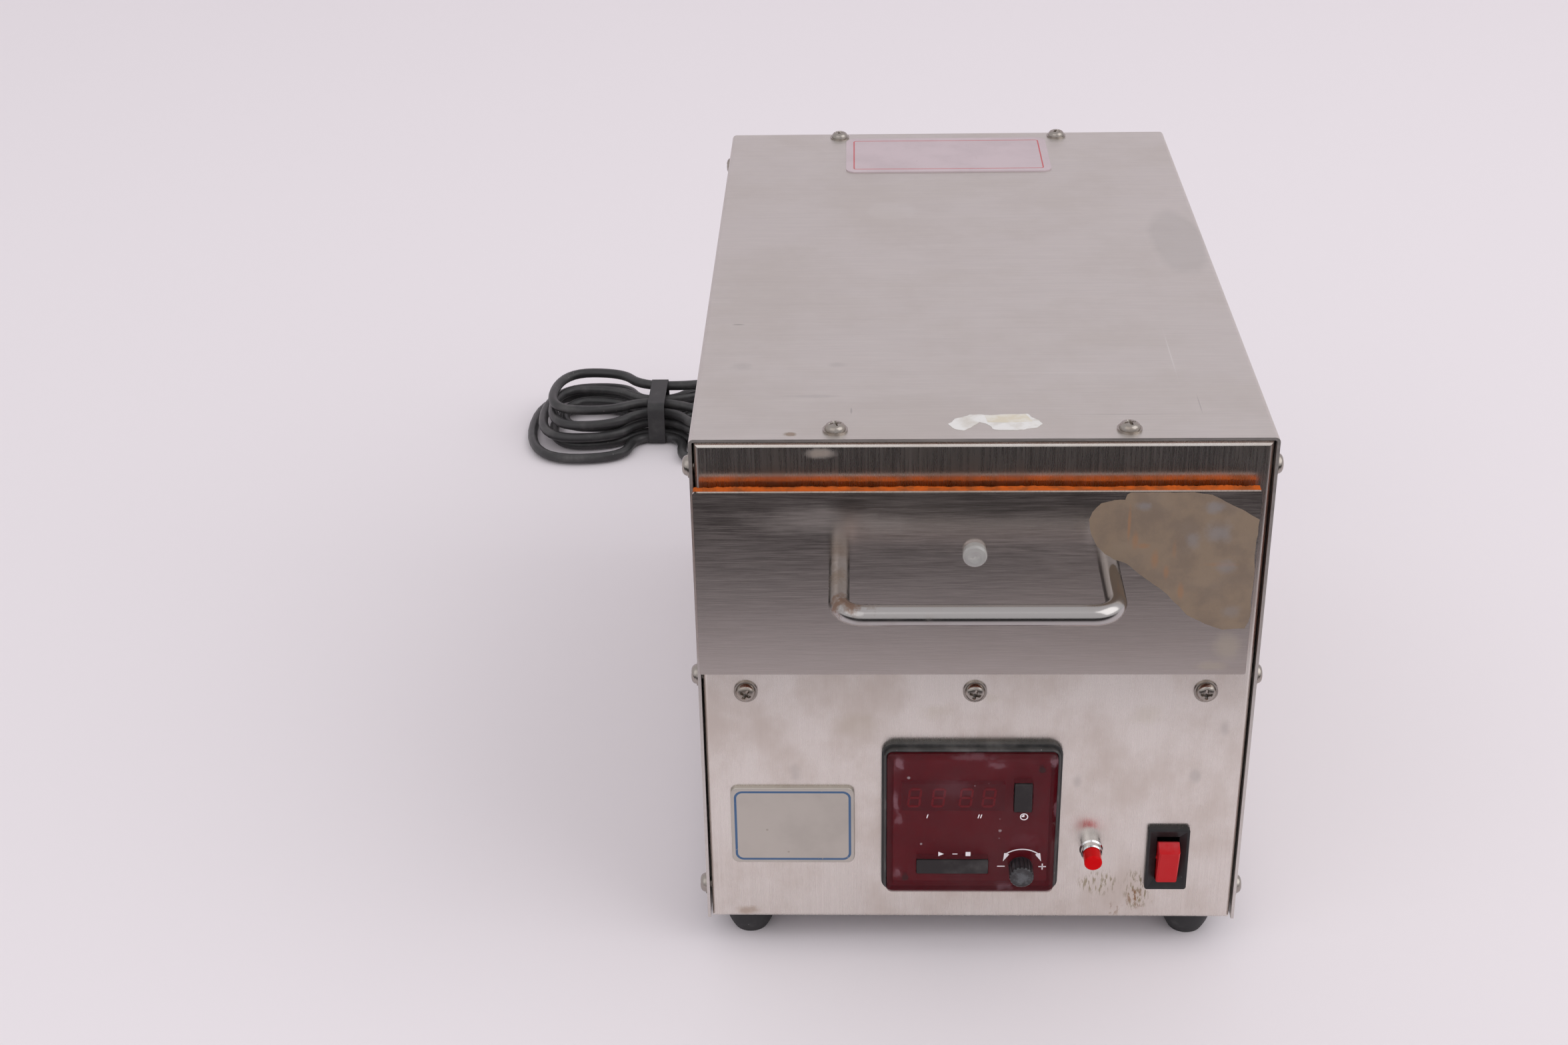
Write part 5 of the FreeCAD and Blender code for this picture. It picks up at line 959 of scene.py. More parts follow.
@dataclass(frozen=True)
class CaseScrews:
    """Pan-head screws with a cross recess, on their washers."""

    head_radius: float = 4.0
    head_height: float = 2.3
    shank_radius: float = 2.0
    shank_length: float = 7.6
    washer: float = 0.8
    recess_length: float = 2.35
    recess_half_width: float = 0.52
    recess_depth: float = 1.3
    half_width: float = 109.0
    depth: float = 350.0
    top_z: float = 238.0
    base_z: float = 16.8
    top_spread: float = 54.5
    inset_front: float = 7.4
    inset_back: float = 5.6
    side_rises: tuple[float, ...] = (11.6, 114.4, 206.9)
    panel_x: float = -0.4
    panel_spread: float = 90.0
    panel_rise: float = 110.6
    panel_faces: tuple[float, float] = (0.7, 349.3)
    seed: int = 11

    def _seats(self) -> list[tuple[Point, Point]]:
        """Each screw's place on the sheet with its outward direction."""
        seats: list[tuple[Point, Point]] = []
        for y in (self.inset_front, self.depth - self.inset_back):
            for side in (-1.0, 1.0):
                seats.append(((side * self.top_spread, y, self.top_z), (0.0, 0.0, 1.0)))
                for rise in self.side_rises:
                    seats.append(((side * self.half_width, y, self.base_z + rise), (side, 0.0, 0.0)))
        for step in (-1, 0, 1):
            x, z = self.panel_x + step * self.panel_spread, self.base_z + self.panel_rise
            seats.append(((x, self.panel_faces[0], z), (0.0, -1.0, 0.0)))
            seats.append(((x, self.panel_faces[1], z), (0.0, 1.0, 0.0)))
        return seats

    def _screw(self, turn: float) -> np.ndarray:
        """One screw along +Z, as rings by angles, in millimetres.

        The head is a dome, its height times one less the fourth power of the radius share, all to
        the power 0.55. A cross is sunk in it, deepest in the middle and cut off at its arms' sides.

        Args:
            turn: The angle of the cross.

        Returns:
            The points.
        """
        radii = np.concatenate([np.linspace(0.02, 0.62, 17), np.linspace(0.68, 1.0, 9)]) * self.head_radius
        angles = np.linspace(0.0, 2.0 * math.pi, 72, endpoint=False)
        radius, angle = np.meshgrid(radii, angles, indexing="ij")
        share = np.clip(radius / self.head_radius, 0.0, 1.0)
        height = self.head_height * np.maximum(1.0 - share ** 4, 0.0) ** 0.55
        x, y = radius * np.cos(angle - turn), radius * np.sin(angle - turn)
        off_arm = np.minimum(np.abs(x), np.abs(y))
        inside = np.clip((self.recess_half_width + 0.08 - off_arm) / 0.16, 0.0, 1.0)
        inward = np.clip((self.recess_length - radius) / 0.5, 0.0, 1.0)
        height = height - self.recess_depth * inside * inward * (1.0 - 0.35 * radius / self.recess_length)
        skirt = [(self.head_radius, -0.0), (self.shank_radius, 0.0), (self.shank_radius, -self.shank_length),
                 (0.3, -self.shank_length - 0.3)]
        lower_r = np.array([p[0] for p in skirt])[:, None] * np.ones_like(angles)[None, :]
        lower_z = np.array([p[1] for p in skirt])[:, None] * np.ones_like(angles)[None, :]
        radius = np.vstack([radius, lower_r])
        height = np.vstack([height, lower_z])
        around = np.broadcast_to(angles, radius.shape)
        return np.stack([radius * np.cos(around), radius * np.sin(around), height], axis=-1)

    def build(self, material: bpy.types.Material) -> bpy.types.Object:
        """All the screws as one piece."""
        random = np.random.default_rng(self.seed)
        shells = []
        for point, way in self._seats():
            out = np.array(way)
            side = np.array((0.0, 1.0, 0.0)) if abs(out[1]) < 0.5 else np.array((1.0, 0.0, 0.0))
            other = np.cross(out, side)
            local = self._screw(random.uniform(0.0, math.pi / 2))
            world = local @ np.stack([side, other, out]) + np.array(point) + out * self.washer
            shells.append(woven(row(world), capped=True))
        piece = add_piece("case_screw_heads", Shell.joined(shells), Body.CABINET.value, material, 32.0)
        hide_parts("case_screws")
        return piece


def ribbon(path: np.ndarray, width: float, front: float, closed: bool = False) -> Shell:
    """A flat printed line: a narrow rectangle carried along a path in the X and Z plane.

    Args:
        path: Its middle, as pairs in millimetres.
        width: Its width.
        front: The Y of its front.
        closed: Whether the path comes back to its start.

    Returns:
        The closed shell, 0.04 mm thick.
    """
    after = np.roll(path, -1, axis=0) if closed else np.vstack([path[1:], path[-1:]])
    before = np.roll(path, 1, axis=0) if closed else np.vstack([path[:1], path[:-1]])
    along = after - before
    along = along / np.linalg.norm(along, axis=1)[:, None]
    side = np.stack([-along[:, 1], along[:, 0]], axis=1) * width / 2
    left, right = path + side, path - side
    corners = []
    for edge, y in ((left, front), (right, front), (right, front + 0.04), (left, front + 0.04)):
        corners.append(np.stack([edge[:, 0], np.full(len(edge), y), edge[:, 1]], axis=1))
    return woven(row(np.stack(corners, axis=1)), closed_rows=closed, capped=not closed)


def arc(centre: tuple[float, float], radius: float, start: float, end: float, count: int) -> np.ndarray:
    """Points on a circle between two angles in degrees."""
    angle = np.radians(np.linspace(start, end, count))
    return np.stack([centre[0] + radius * np.cos(angle), centre[1] + radius * np.sin(angle)], axis=1)


@dataclass(frozen=True)
class TimerPrint:
    """The white signs printed on the timer's window: plain shapes, no words."""

    front: float = -7.245
    line: float = 0.48

    def _flat(self, outline: Sequence[tuple[float, float]]) -> Shell:
        """A filled shape."""
        return prism(np.array(outline, float), self.front, self.front + 0.04, (0, 2, 1))

    def _bar(self, start: tuple[float, float], end: tuple[float, float], width: float) -> Shell:
        """A straight line."""
        return ribbon(np.array([start, end], float), width, self.front)

    def build(self, material: bpy.types.Material) -> None:
        """Less and more beside the knob, a turning arrow over it, a dial, and start and stop."""
        shells = [
            self._bar((10.0, 48.1), (13.1, 48.1), self.line),
            self._bar((26.7, 47.95), (29.8, 47.95), self.line),
            self._bar((28.25, 46.45), (28.25, 49.45), self.line),
            ribbon(arc((19.95, 46.2), 10.4, 53.0, 127.0, 33), self.line, self.front),
            self._flat([(12.3, 50.6), (14.7, 54.0), (13.9, 54.6), (12.7, 54.7)]),
            self._flat([(27.7, 50.6), (27.2, 54.7), (26.0, 54.6), (25.2, 54.0)]),
            ribbon(arc((20.1, 72.7), 1.45, 0.0, 352.5, 48), 0.42, self.front, closed=True),
            self._flat([(20.25, 72.6), (20.25, 73.8), (19.9, 73.8), (19.05, 72.95), (19.05, 72.6)]),
            self._flat([(-13.9, 53.1), (-11.7, 54.2), (-13.9, 55.3)]),
            self._bar((-8.2, 54.2), (-6.2, 54.2), 0.4),
            self._flat([(-2.9, 53.2), (-0.9, 53.2), (-0.9, 55.2), (-2.9, 55.2)]),
            self._bar((-18.8, 72.0), (-18.3, 73.8), 0.42),
            self._bar((1.7, 72.0), (2.2, 73.8), 0.42),
            self._bar((2.7, 72.0), (3.2, 73.8), 0.42),
        ]
        add_piece("timer_print", Shell.joined(shells), Body.CABINET.value, material)


@dataclass(frozen=True)
class DoorResidue:
    """The tan film that a lost label left on the door, as thin as paint."""

    front: float = -6.8
    film: float = 0.07
    right_edge: float = 102.6
    upper_edge: float = 219.1
    outline: tuple[tuple[float, float], ...] = (
        (39.6, 207.7), (40.8, 211.0), (43.9, 214.6), (48.6, 215.9), (52.6, 216.0), (53.3, 218.3),
        (54.7, 219.1), (67.5, 219.1), (77.8, 219.1), (84.4, 218.0), (88.2, 216.0), (96.7, 211.3),
        (102.6, 207.5), (102.6, 183.6), (102.6, 167.9), (102.0, 163.5), (100.8, 160.4), (92.5, 159.9),
        (85.5, 162.6), (78.4, 166.6), (75.1, 170.6), (70.3, 175.8), (64.8, 180.2), (59.3, 184.5),
        (54.5, 188.9), (50.0, 190.6), (46.1, 193.2), (43.0, 196.6), (40.6, 201.7),
    )

    def build(self, material: bpy.types.Material) -> None:
        """Make the film on the door."""
        torn = ragged(self.outline, 3, 0.035, 8)
        torn = np.minimum(torn, np.array((self.right_edge, self.upper_edge)))
        shell = prism(torn, self.front - self.film, self.front, (0, 2, 1))
        add_piece("door_residue", shell, Body.DRAWER.value, material)


@dataclass(frozen=True)
class TornLabel:
    """The remnant of a paper label on the cover: white scraps with a cream strip."""

    top_z: float = 238.0
    paper: float = 0.12
    paper_outline: tuple[tuple[float, float], ...] = (
        (-12.4, 12.5), (-9.8, 16.7), (-3.9, 20.4), (1.8, 19.9), (17.6, 20.9), (21.5, 15.4), (22.7, 12.1),
        (20.3, 8.9), (15.3, 7.3), (4.0, 8.1), (2.1, 12.3), (-0.7, 14.0), (-3.7, 9.8), (-6.7, 6.9),
        (-10.2, 8.2), (-11.5, 10.8),
    )
    strip_outline: tuple[tuple[float, float], ...] = ((1.6, 19.4), (17.0, 20.4), (19.3, 14.2), (2.4, 13.6))

    def build(self, paper: bpy.types.Material, strip: bpy.types.Material) -> None:
        """Make both layers."""
        low = prism(ragged(self.paper_outline, 4, 0.10, 3), self.top_z, self.top_z + self.paper, (0, 1, 2))
        add_piece("label_paper", low, Body.CABINET.value, paper)
        high = prism(ragged(self.strip_outline, 4, 0.02, 4), self.top_z + self.paper,
                     self.top_z + self.paper + 0.05, (0, 1, 2))
        add_piece("label_strip", high, Body.CABINET.value, strip)


# The drawer


def wander(shape: tuple[int, int], reach: tuple[float, float], seed: int) -> np.ndarray:
    """A random height field that wraps round in both directions.

    White noise is smoothed in the frequency domain by a bell curve, then scaled to unit spread.

    Args:
        shape: Rows and columns.
        reach: The size of its bumps along each, in cells.
        seed: The random seed.

    Returns:
        The field.
    """
    noise = np.random.default_rng(seed).standard_normal(shape)
    down, over = np.meshgrid(np.fft.fftfreq(shape[0]), np.fft.fftfreq(shape[1]), indexing="ij")
    bell = np.exp(-2.0 * ((down * reach[0]) ** 2 + (over * reach[1]) ** 2) * math.pi)
    field_ = np.real(np.fft.ifft2(np.fft.fft2(noise) * bell))
    return field_ / field_.std()


def rounded_loop(width: float, height: float, corner: float, per_side: int) -> np.ndarray:
    """Points round a rounded rectangle about the origin.

    Points of the plain rectangle are pulled to its inner box and pushed out by the corner radius.

    Args:
        width: The full width.
        height: The full height.
        corner: The corner radius.
        per_side: Points on each side.

    Returns:
        The pairs, four sides long.
    """
    half = np.array((width / 2, height / 2))
    corners = np.array([(-1, -1), (1, -1), (1, 1), (-1, 1)]) * half
    share = np.linspace(0.0, 1.0, per_side, endpoint=False)
    share = share + 0.08 * np.sin(2.0 * math.pi * share) * -1.0
    sides = [corners[k] + (corners[(k + 1) % 4] - corners[k]) * share[:, None] for k in range(4)]
    points = np.vstack(sides)
    inner = np.clip(points, -(half - corner), half - corner)
    away = points - inner
    return inner + away * (corner / np.linalg.norm(away, axis=1))[:, None]


@dataclass(frozen=True)
class SpongeGasket:
    """The sponge frame behind the door plate, with its open cells and a crumbled upper edge."""

    width: float = 210.4
    height: float = 79.5
    centre: tuple[float, float] = (-2.4, 179.55)
    corner: float = 0.8
    front_y: float = -5.6
    thickness: float = 4.1
    per_side: int = 420

    def build(self, window: tuple[float, float, float, float], material: bpy.types.Material) -> None:
        """Carry a rounded rectangle section round the frame and roughen it.

        Args:
            window: The inner window's centre x and z and its width and height.
            material: The sponge's finish.
        """
        outer = rounded_loop(self.width, self.height, self.corner, self.per_side) + np.array(self.centre)
        inner = rounded_loop(window[2], window[3], 3.0, self.per_side) + np.array(window[:2])
        section_in = np.array((0.0, 0.004, 0.012, 0.3, 0.988, 0.996, 1.0, 1.0, 1.0, 0.996, 0.988, 0.3,
                               0.012, 0.004, 0.0, 0.0, 0.0, 0.0))
        section_back = np.array((0.05, 0.0, 0.0, 0.0, 0.0, 0.02, 0.1, 0.5, 0.9, 1.0, 1.0, 1.0, 1.0, 1.0,
                                 0.95, 0.72, 0.45, 0.22))
        loop = outer[None] + (inner - outer)[None] * section_in[:, None, None]
        y = self.front_y + 0.02 + (self.thickness - 0.04) * section_back[:, None] * np.ones(len(outer))[None]
        rough = wander(y.shape, (1.0, 1.5), 21) * 0.10 + wander(y.shape, (2.0, 9.0), 22) * 0.12
        outer_rim = (section_in < 0.02)[:, None]
        way = np.where(outer_rim[..., None], outer[None] - loop * 0 - np.array(self.centre), 0.0)
        length = np.linalg.norm(way, axis=-1, keepdims=True)
        out = way / np.where(length > 0, length, 1.0)
        steep = np.stack([np.zeros(len(outer)), np.ones(len(outer))], axis=1)[None]
        upper = (outer[:, 1] > self.centre[1] + self.height / 2 - 2.0)[None, :]
        out = np.where(upper[..., None], steep, out)
        loop = loop + out * (np.minimum(rough, 0.25) - 0.22)[..., None] * outer_rim[..., None]
        points = np.stack([loop[..., 0], y, loop[..., 1]], axis=-1)
        piece = add_piece("gasket_sponge", woven(row(points), closed_rows=True), Body.DRAWER.value,
                          material, 60.0)
        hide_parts("door_gasket")


# Finishes and main


def reach_of(frame: dict, node: str) -> tuple[np.ndarray, np.ndarray]:
    """The middle and the size of a CAD node's box, in metres.

    Args:
        frame: The loaded frame.
        node: The node's name.

    Returns:
        The middle and the size.
    """
    mesh = frame["nodes"][node].data
    places = np.empty(len(mesh.vertices) * 3, np.float32)
    mesh.vertices.foreach_get("co", places)
    places = places.reshape(-1, 3)
    low, high = places.min(axis=0), places.max(axis=0)
    return (low + high) / 2, high - low


@dataclass
class Finishes:
    """The finishes that carry marks of use, in their places."""

    frame: dict
    effects: Effects = field(default_factory=Effects)

    def cover(self) -> bpy.types.Material:
        """The cover: brushed along X, with a rubbed patch, smudges and long scratches."""
        grey, brown, pale = (0.34, 0.30, 0.30), (0.20, 0.12, 0.07), (0.70, 0.66, 0.65)
        marks = (
            Stain((97.0, 198.0, 238.0), (14.0, 45.0, 6.0), grey, 0.34, 0.30, 0.35, 40.0, 0.10),
            Stain((-30.0, 239.0, 238.0), (13.0, 13.0, 6.0), pale, 0.10, 0.25, 0.2, 60.0, 0.04),
            Stain((-92.0, 65.0, 238.0), (7.0, 5.0, 6.0), grey, 0.34, 0.8, 1.0, 90.0, 0.06),
            Stain((-53.9, 66.6, 238.0), (5.0, 3.5, 6.0), grey, 0.30, 0.8, 1.0, 90.0, 0.06),
            Stain((-64.0, 37.5, 238.0), (13.0, 2.2, 6.0), grey, 0.34, 0.8, 0.8, 90.0, 0.06),
            Stain((-71.2, 4.4, 238.0), (3.4, 2.2, 6.0), brown, 0.75, 0.7, 1.2, 260.0, 0.2),
            Stain((-95.1, 107.1, 238.0), (3.2, 0.5, 6.0), (0.15, 0.13, 0.12), 0.7, 0.7, 0.3, 90.0, 0.1),
            Stain((-48.5, 24.4, 238.0), (0.5, 3.4, 6.0), grey, 0.7, 0.7, 0.3, 90.0, 0.1),
            Stain((25.0, 58.4, 238.0), (54.0, 0.28, 6.0), pale, 0.50, 0.8, 0.3, 90.0, 0.0),
            Stain((54.0, 20.4, 238.0), (28.0, 0.35, 6.0), grey, 0.70, 0.8, 0.3, 90.0, 0.1),
            Stain((83.2, 29.0, 238.0), (0.35, 10.0, 6.0), grey, 0.55, 0.8, 0.3, 90.0, 0.1),
            Stain((78.0, 75.0, 238.0), (0.30, 32.0, 6.0), pale, 0.50, 0.8, 0.3, 90.0, 0.0),
        )
        return BrushedSheet("cover_steel", Grain.ALONG_X_ON_TOP, (0.0, 1.0, 0.0), (0.645, 0.606, 0.578),
                            0.36, 0.5, 0.07, 0.11, folded_sides=True, stains=marks).build(self.effects)

    def panel(self) -> bpy.types.Material:
        """The front panel: brushed upright, with rust at its lower right and faint finger marks."""
        rust, tan, grey = (0.24, 0.115, 0.045), (0.42, 0.35, 0.25), (0.33, 0.30, 0.30)
        olive = (0.27, 0.215, 0.13)
        marks = (
            Stain((-59.3, 0.7, 232.0), (8.0, 8.0, 3.0), (0.30, 0.22, 0.15), 0.5, 0.8, 1.2, 140.0),
            Stain((53.0, 0.7, 34.0), (10.0, 8.0, 8.0), olive, 0.85, 0.6, 1.2, 120.0, 0.1, (850.0, 850.0, 190.0)),
            Stain((68.0, 0.7, 30.0), (8.0, 8.0, 13.0), olive, 0.90, 0.6, 1.2, 120.0, 0.1, (900.0, 900.0, 210.0)),
            Stain((67.5, 0.7, 26.0), (5.5, 8.0, 8.0), rust, 0.90, 0.8, 1.4, 200.0, 0.2, (700.0, 700.0, 260.0)),
            Stain((59.0, 0.7, 20.0), (3.0, 8.0, 5.0), rust, 0.70, 0.8, 1.4, 200.0, 0.2, (600.0, 600.0, 200.0)),
            Stain((-93.0, 0.7, 19.0), (7.0, 8.0, 3.0), rust, 0.5, 0.9, 1.6, 140.0),
            Stain((-47.0, 0.7, 111.0), (12.0, 8.0, 10.0), tan, 0.20, 0.9, 1.5, 90.0),
            Stain((-71.3, 0.7, 88.0), (4.0, 8.0, 6.0), grey, 0.30, 0.9, 1.3, 120.0),
            Stain((-15.3, 0.7, 118.0), (8.0, 8.0, 5.0), tan, 0.28, 0.9, 1.5, 110.0),
            Stain((6.4, 0.7, 124.0), (6.0, 8.0, 4.0), tan, 0.25, 0.9, 1.5, 110.0),
            Stain((67.0, 0.7, 116.0), (9.0, 8.0, 6.0), tan, 0.25, 0.9, 1.5, 100.0),
            Stain((88.4, 0.7, 87.0), (3.5, 8.0, 5.0), grey, 0.35, 0.9, 1.2, 120.0),
            Stain((98.3, 0.7, 110.0), (3.0, 8.0, 5.0), grey, 0.35, 0.9, 1.2, 120.0),
            Stain((41.6, 0.7, 84.0), (3.0, 8.0, 4.0), grey, 0.30, 0.9, 1.2, 120.0),
        )
        return BrushedSheet("panel_steel", Grain.UPRIGHT, (1.0, 0.0, 0.0), (0.745, 0.698, 0.655), 0.26, 0.65,
                            0.06, 0.30, (1.0, 1.0, 0.7), 30.0, stains=marks).build(self.effects)

    def door(self) -> bpy.types.Material:
        """The door plate: brushed along X, with a haze of old glue at its lower right and painted shade, a grey patch
        standing in for a darker reflection, across its upper left.
        """
        yellow = (0.42, 0.35, 0.20)
        marks = (
            Stain((95.0, -6.8, 152.5), (7.0, 9.0, 9.0), yellow, 0.26, 0.8, 1.0, 90.0, 0.05),
            Stain((89.5, -6.8, 143.5), (8.0, 9.0, 3.0), yellow, 0.24, 0.8, 1.2, 120.0, 0.05),
            # Painted shade: a grey patch darkens the upper left of the plate as a darker reflection would.
            Stain((-60.0, -6.8, 207.0), (40.0, 9.0, 8.0), (0.36, 0.31, 0.29), 0.22, 0.9, 1.2, 60.0, 0.05),
        )
        return BrushedSheet("door_steel", Grain.ALONG_X_ON_FRONT, (0.0, 0.0, 1.0), (0.590, 0.535, 0.505), 0.17, 0.7,
                            0.10, 0.16, (0.45, 1.0, 1.0), stains=marks).build(self.effects)

    def residue(self) -> bpy.types.Material:
        """The film on the door: tan, with brown streaks and bluish thin places."""
        brown, blue, y = (0.30, 0.155, 0.075), (0.215, 0.215, 0.235), -6.8
        marks = tuple(Stain((x, y, z), (wide, 9.0, high), colour, strength, 0.8, rough, 150.0, 0.1)
                      for x, z, wide, high, colour, strength, rough in (
                          (54.6, 206.0, 0.9, 10.0, brown, 0.7, 0.6), (57.2, 199.0, 1.6, 5.0, brown, 0.6, 0.9),
                          (60.5, 196.5, 2.8, 1.6, brown, 0.6, 0.9), (65.0, 190.5, 2.0, 5.0, brown, 0.6, 0.9),
                          (69.5, 185.0, 1.6, 4.0, brown, 0.6, 0.9), (75.5, 177.0, 1.6, 5.0, brown, 0.6, 0.9),
                          (90.3, 188.4, 9.0, 1.2, brown, 0.35, 0.9), (72.0, 195.0, 1.2, 5.0, brown, 0.3, 0.9),
                          (60.0, 213.5, 4.0, 2.5, blue, 0.45, 1.5), (86.2, 213.0, 6.0, 3.5, blue, 0.5, 1.5),
                          (88.0, 202.0, 7.0, 6.0, blue, 0.45, 1.5), (78.4, 199.0, 4.0, 5.0, blue, 0.4, 1.5),
                          (91.9, 187.0, 5.0, 4.0, blue, 0.4, 1.5), (95.0, 168.0, 5.0, 4.0, blue, 0.3, 1.5)))
        return Moulded("residue_tan", (0.235, 0.172, 0.118), 0.42, 0.25, (0.32, 0.28, 0.24), 0.35, 900.0,
                       second=(0.190, 0.140, 0.102), second_scale=75.0, stains=marks).build(self.effects)

    def handle(self) -> bpy.types.Material:
        """The handle: bright rod, brown with tarnish at the bend of its left leg."""
        brown = (0.16, 0.075, 0.035)
        marks = (Stain((-51.0, -36.0, 190.0), (12.0, 8.0, 8.0), brown, 0.85, 0.8, 2.2, 260.0, 0.12),
                 Stain((-54.0, -18.0, 187.0), (8.0, 18.0, 9.0), (0.20, 0.135, 0.085), 0.70, 0.9, 1.6, 200.0, 0.12))
        return PlainMetal("handle_steel", (0.45, 0.43, 0.42), 0.17, scale=60.0, tarnish_share=0.15,
                          stains=marks).build(self.effects)

    def window(self) -> bpy.types.Material:
        """The timer's red window: smeared with pale residue along its rim, with two dark screw marks."""
        smear, dark = (0.37, 0.20, 0.24), (0.012, 0.006, 0.006)
        marks = tuple(Stain((x, -7.2, z), (wide, 5.0, high), smear, strength, 0.6, 2.4, 420.0, 0.15)
                      for x, z, wide, high, strength in (
                          (-30.0, 98.0, 2.5, 4.0, 0.6), (-31.2, 79.6, 1.6, 6.0, 0.55), (-30.0, 70.9, 2.0, 3.0, 0.5),
                          (31.4, 99.0, 2.0, 3.0, 0.6), (33.0, 75.0, 1.4, 6.0, 0.5), (8.7, 97.5, 5.0, 2.0, 0.5),
                          (0.0, 101.0, 9.0, 1.6, 0.45), (12.6, 37.6, 4.0, 2.0, 0.5), (-30.5, 44.4, 2.0, 3.0, 0.5),
                          (-8.0, 86.0, 9.0, 6.0, 0.16), (20.0, 60.0, 8.0, 6.0, 0.14)))
        marks += (Stain((26.6, -7.2, 95.3), (1.9, 5.0, 1.9), dark, 0.85, 0.4, 0.2, 90.0, 0.0),
                  Stain((-27.2, -7.2, 42.2), (1.9, 5.0, 1.9), dark, 0.85, 0.4, 0.2, 90.0, 0.0))
        return Tinted("window_red", (0.112, 0.003, 0.009), 0.40, 0.07, stains=marks).build(self.effects)

    def knob(self) -> bpy.types.Material:
        """The knob: dusty, with pale rubbed marks on its end."""
        pale = (0.12, 0.125, 0.135)
        marks = (Stain((19.4, -15.1, 48.2), (4.6, 1.5, 4.6), pale, 0.70, 0.9, 2.6, 420.0, 0.15),)
        return Moulded("knob_black", (0.020, 0.018, 0.020), 0.28, dust=0.5, dust_colour=(0.22, 0.23, 0.25),
                       stains=marks).build(self.effects)

    def rocker(self) -> bpy.types.Material:
        """The rocker: bright red, paler and rougher on the upper end that stands out, where a pale pink patch is a
        painted highlight.
        """
        # Painted highlight: a pale pink patch lightens the rocker's upper end.
        marks = (Stain((79.5, 0.0, 55.0), (9.0, 9.0, 4.0), (0.50, 0.16, 0.18), 0.25, 0.8, 1.2, 260.0, 0.3),)
        return Moulded("rocker_red", (0.52, 0.006, 0.010), 0.30, 0.04, (0.60, 0.34, 0.34), 0.04, 900.0,
                       gloss=0.2, stains=marks).build(self.effects)

    def nameplate(self) -> bpy.types.Material:
        """The large bare plate: brushed, with a blue line round it."""
        middle, size = reach_of(self.frame, "nameplate")
        return PrintedPlate("bare_plate", (0.530, 0.490, 0.445), (0.045, 0.110, 0.230), (middle[0], middle[2]),
                            (size[0], size[2]), (0, 2), 1.9 * MM, 3.0 * MM, 1.05 * MM).build(self.effects)

    def top_plate(self) -> bpy.types.Material:
        """The small bare plate: pale, with a thin red line round it."""
        middle, size = reach_of(self.frame, "top_plate")
        return PrintedPlate("bare_top_plate", (0.600, 0.505, 0.530), (0.52, 0.10, 0.11), (middle[0], middle[1]),
                            (size[0], size[1]), (0, 1), 3.9 * MM, 1.2 * MM, 0.7 * MM, 0.30, 0.45).build(self.effects)


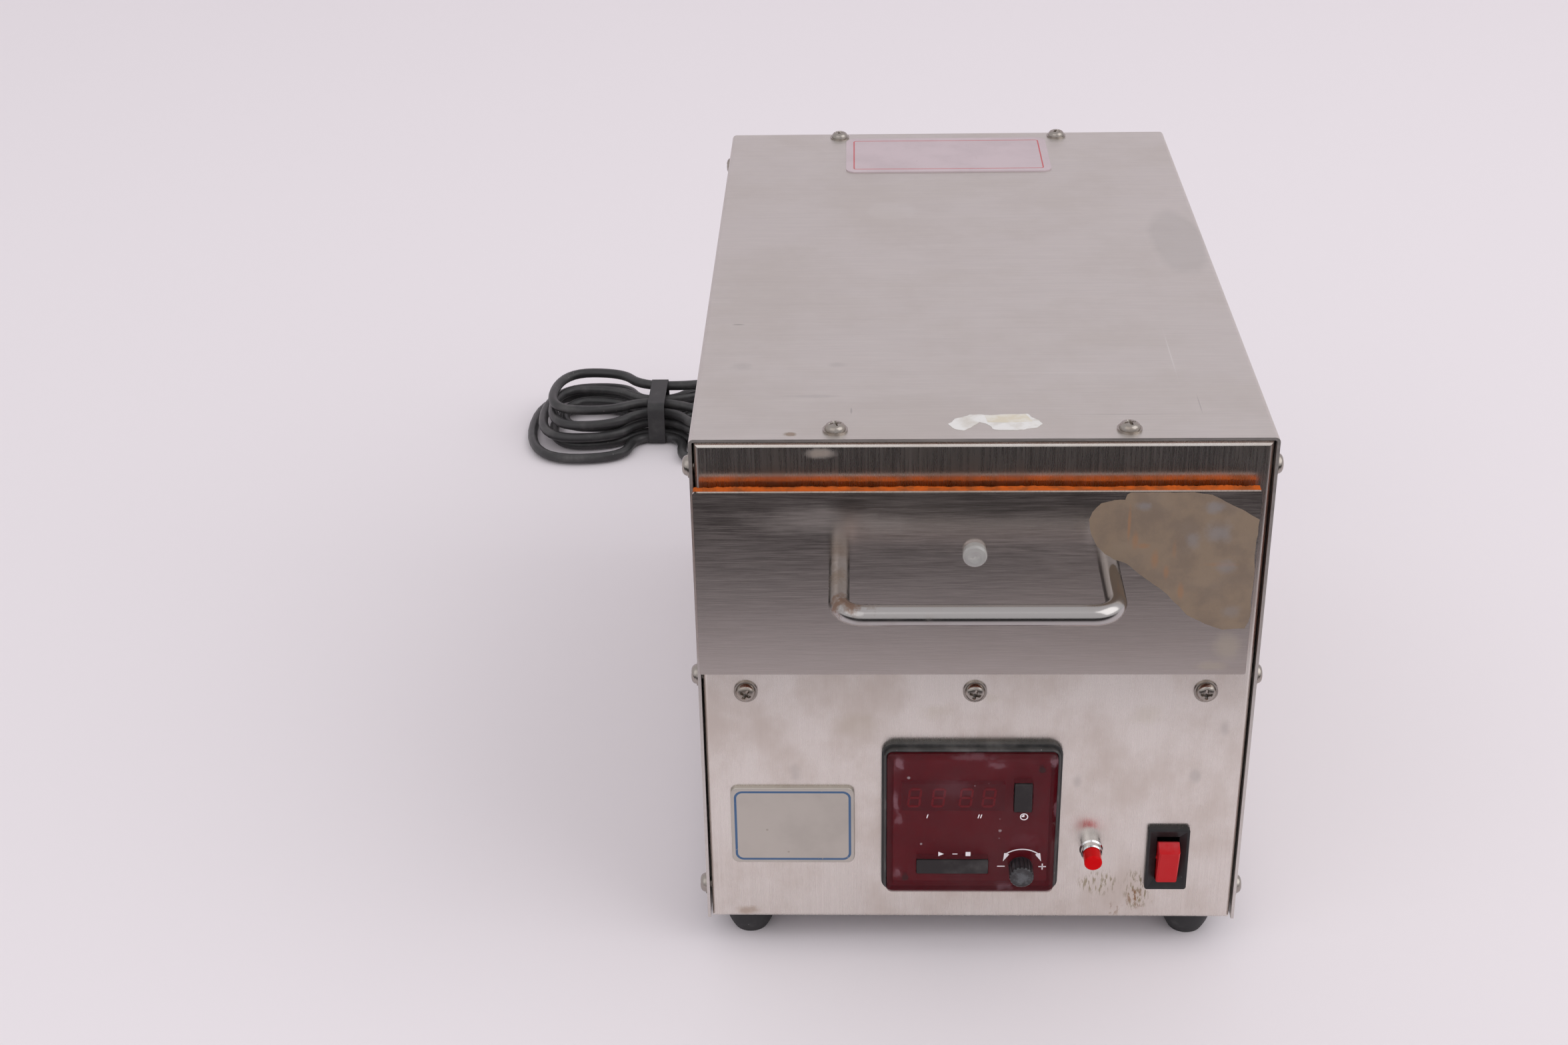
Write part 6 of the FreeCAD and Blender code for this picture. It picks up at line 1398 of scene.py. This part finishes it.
def build_object(frame: dict) -> None:
    """Dress the CAD nodes and make the pieces that replace or join them.

    Args:
        frame: The loaded frame.
    """
    finishes = Finishes(frame)
    effects = finishes.effects
    screw = PlainMetal("screw_steel", (0.37, 0.335, 0.305), 0.22, tarnish_share=0.3).build(effects)
    inner = PlainMetal("inner_steel", (0.55, 0.54, 0.53), 0.38).build(effects)
    bright = PlainMetal("liner_aluminium", (0.80, 0.81, 0.82), 0.28).build(effects)
    chrome = PlainMetal("ring_chrome", (0.72, 0.71, 0.71), 0.10, tarnish_share=0.1).build(effects)
    spigot = PlainMetal("spigot_aluminium", (0.72, 0.73, 0.74), 0.30).build(effects)
    brass = PlainMetal("blade_brass", (0.78, 0.62, 0.34), 0.2).build(effects)
    black = Moulded("black_plastic", (0.015, 0.014, 0.015), 0.42, dust=0.10, gloss=0.35).build(effects)
    bezel = Moulded("bezel_black", (0.034, 0.033, 0.033), 0.40, dust=0.45).build(effects)
    rubber = Moulded("foot_rubber", (0.026, 0.025, 0.027), 0.6, dust=0.4, gloss=0.4).build(effects)
    jacket = Moulded("cord_black", (0.030, 0.029, 0.030), 0.38, dust=0.25).build(effects)
    pale_marks = (Stain((-141.0, 497.0, 8.0), (6.0, 4.0, 3.0), (0.50, 0.48, 0.46), 0.6, 0.8, 1.5, 300.0),)
    tie = Moulded("tie_black", (0.022, 0.021, 0.022), 0.5, stains=pale_marks).build(effects)
    white = Moulded("body_white", (0.78, 0.76, 0.72), 0.5).build(effects)
    print_white = Moulded("print_white", (0.82, 0.78, 0.80), 0.5, dust=0.2, dust_colour=(0.42, 0.30, 0.32)).build(effects)
    ceramic = Moulded("white_ceramic", (0.82, 0.81, 0.78), 0.4).build(effects)
    sponge = Moulded("gasket_rubber", (0.58, 0.118, 0.020), 0.9, dust=0.10, dust_colour=(0.50, 0.24, 0.12),
                     texture=0.6, texture_scale=900.0, gloss=0.0, second=(0.34, 0.090, 0.026), second_scale=160.0).build(effects)
    face = Moulded("face_black", (0.230, 0.012, 0.018), 0.4, second=(0.130, 0.012, 0.016), second_scale=40.0).build(effects)
    display = Moulded("display_block", (0.030, 0.014, 0.014), 0.35).build(effects)
    digit = Moulded("digit_red", (0.40, 0.02, 0.025), 0.35).build(effects)
    key = Moulded("key_black", (0.022, 0.018, 0.019), 0.5, dust=0.2, gloss=0.3).build(effects)
    core = Moulded("core_steel", (0.10, 0.10, 0.11), 0.5).build(effects)
    tape = Moulded("winding_tape", (0.60, 0.42, 0.08), 0.4).build(effects)
    paper = Moulded("label_paper", (0.76, 0.745, 0.73), 0.8, second=(0.62, 0.585, 0.54), second_scale=130.0).build(effects)
    strip = Moulded("label_strip", (0.66, 0.60, 0.48), 0.6, second=(0.72, 0.69, 0.63), second_scale=160.0).build(effects)
    lens = Moulded("lens_red", (0.60, 0.001, 0.003), 0.10, 0.0, texture=0.02, gloss=0.08).build(effects)
    clear = ClearTube("clear_plastic", (0.90, 0.88, 0.85), 0.02, 0.62).build(effects)
    quartz = ClearTube("lamp_quartz", (0.92, 0.94, 0.96)).build(effects)

    dress(frame, finishes.cover(), "top_cover")
    dress(frame, finishes.panel(), "front_panel")
    dress(frame, finishes.door(), "door_plate")
    dress(frame, inner, "back_panel", "bottom_plate", "shelf", "slide_channel_left", "slide_channel_right",
          "transformer_strap", "lamp_clips", "drawer_tray")
    dress(frame, bright, "chamber_liner", "lamp_reflector", "drawer_runner_left", "drawer_runner_right")
    dress(frame, screw, "case_washers", "foot_screws", "handle_screws")
    dress(frame, finishes.handle(), "door_handle")
    dress(frame, chrome, "pilot_ring")
    dress(frame, spigot, "exhaust_port")
    dress(frame, brass, "plug_blades")
    dress(frame, black, "timer_housing", "timer_clamp", "switch_body", "fuse_holder", "fuse_cap",
          "strain_relief", "interlock_switch", "power_plug")
    dress(frame, bezel, "timer_bezel")
    dress(frame, finishes.knob(), "timer_knob")
    dress(frame, tie, "cord_tie")
    dress(frame, rubber, "foot_front_left", "foot_front_right", "foot_back_left", "foot_back_right")
    dress(frame, white, "pilot_body", "interlock_plunger", "terminal_block")
    dress(frame, ceramic, "lamp_sockets")
    dress(frame, face, "timer_face")
    dress(frame, display, "timer_display")
    dress(frame, digit, "timer_digits")
    dress(frame, key, "clock_key", "start_key")
    dress(frame, finishes.nameplate(), "nameplate")
    dress(frame, finishes.top_plate(), "top_plate")
    dress(frame, core, "transformer_core")
    dress(frame, tape, "transformer_winding")
    dress(frame, finishes.window(), "timer_window")
    dress(frame, finishes.rocker(), "power_rocker")
    dress(frame, lens, "pilot_lens")
    dress(frame, clear, "view_port")
    dress(frame, quartz, "uv_lamp")

    CaseScrews().build(screw)
    TornLabel().build(paper, strip)
    TimerPrint().build(print_white)
    DoorResidue().build(finishes.residue())
    SpongeGasket().build((0.0, 180.0, 189.0, 68.0), sponge)
    Cord().build(jacket, [frame["nodes"][n] for n in ("power_plug", "plug_blades", "cord_tie")])


def main() -> None:
    """Build the studio and the object."""
    logging.basicConfig(level=logging.INFO, format="%(message)s")
    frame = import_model()
    scene = bpy.context.scene
    scene.view_settings.view_transform = "Standard"
    Studio().build()
    build_object(frame)


if __name__ == "__main__":
    main()
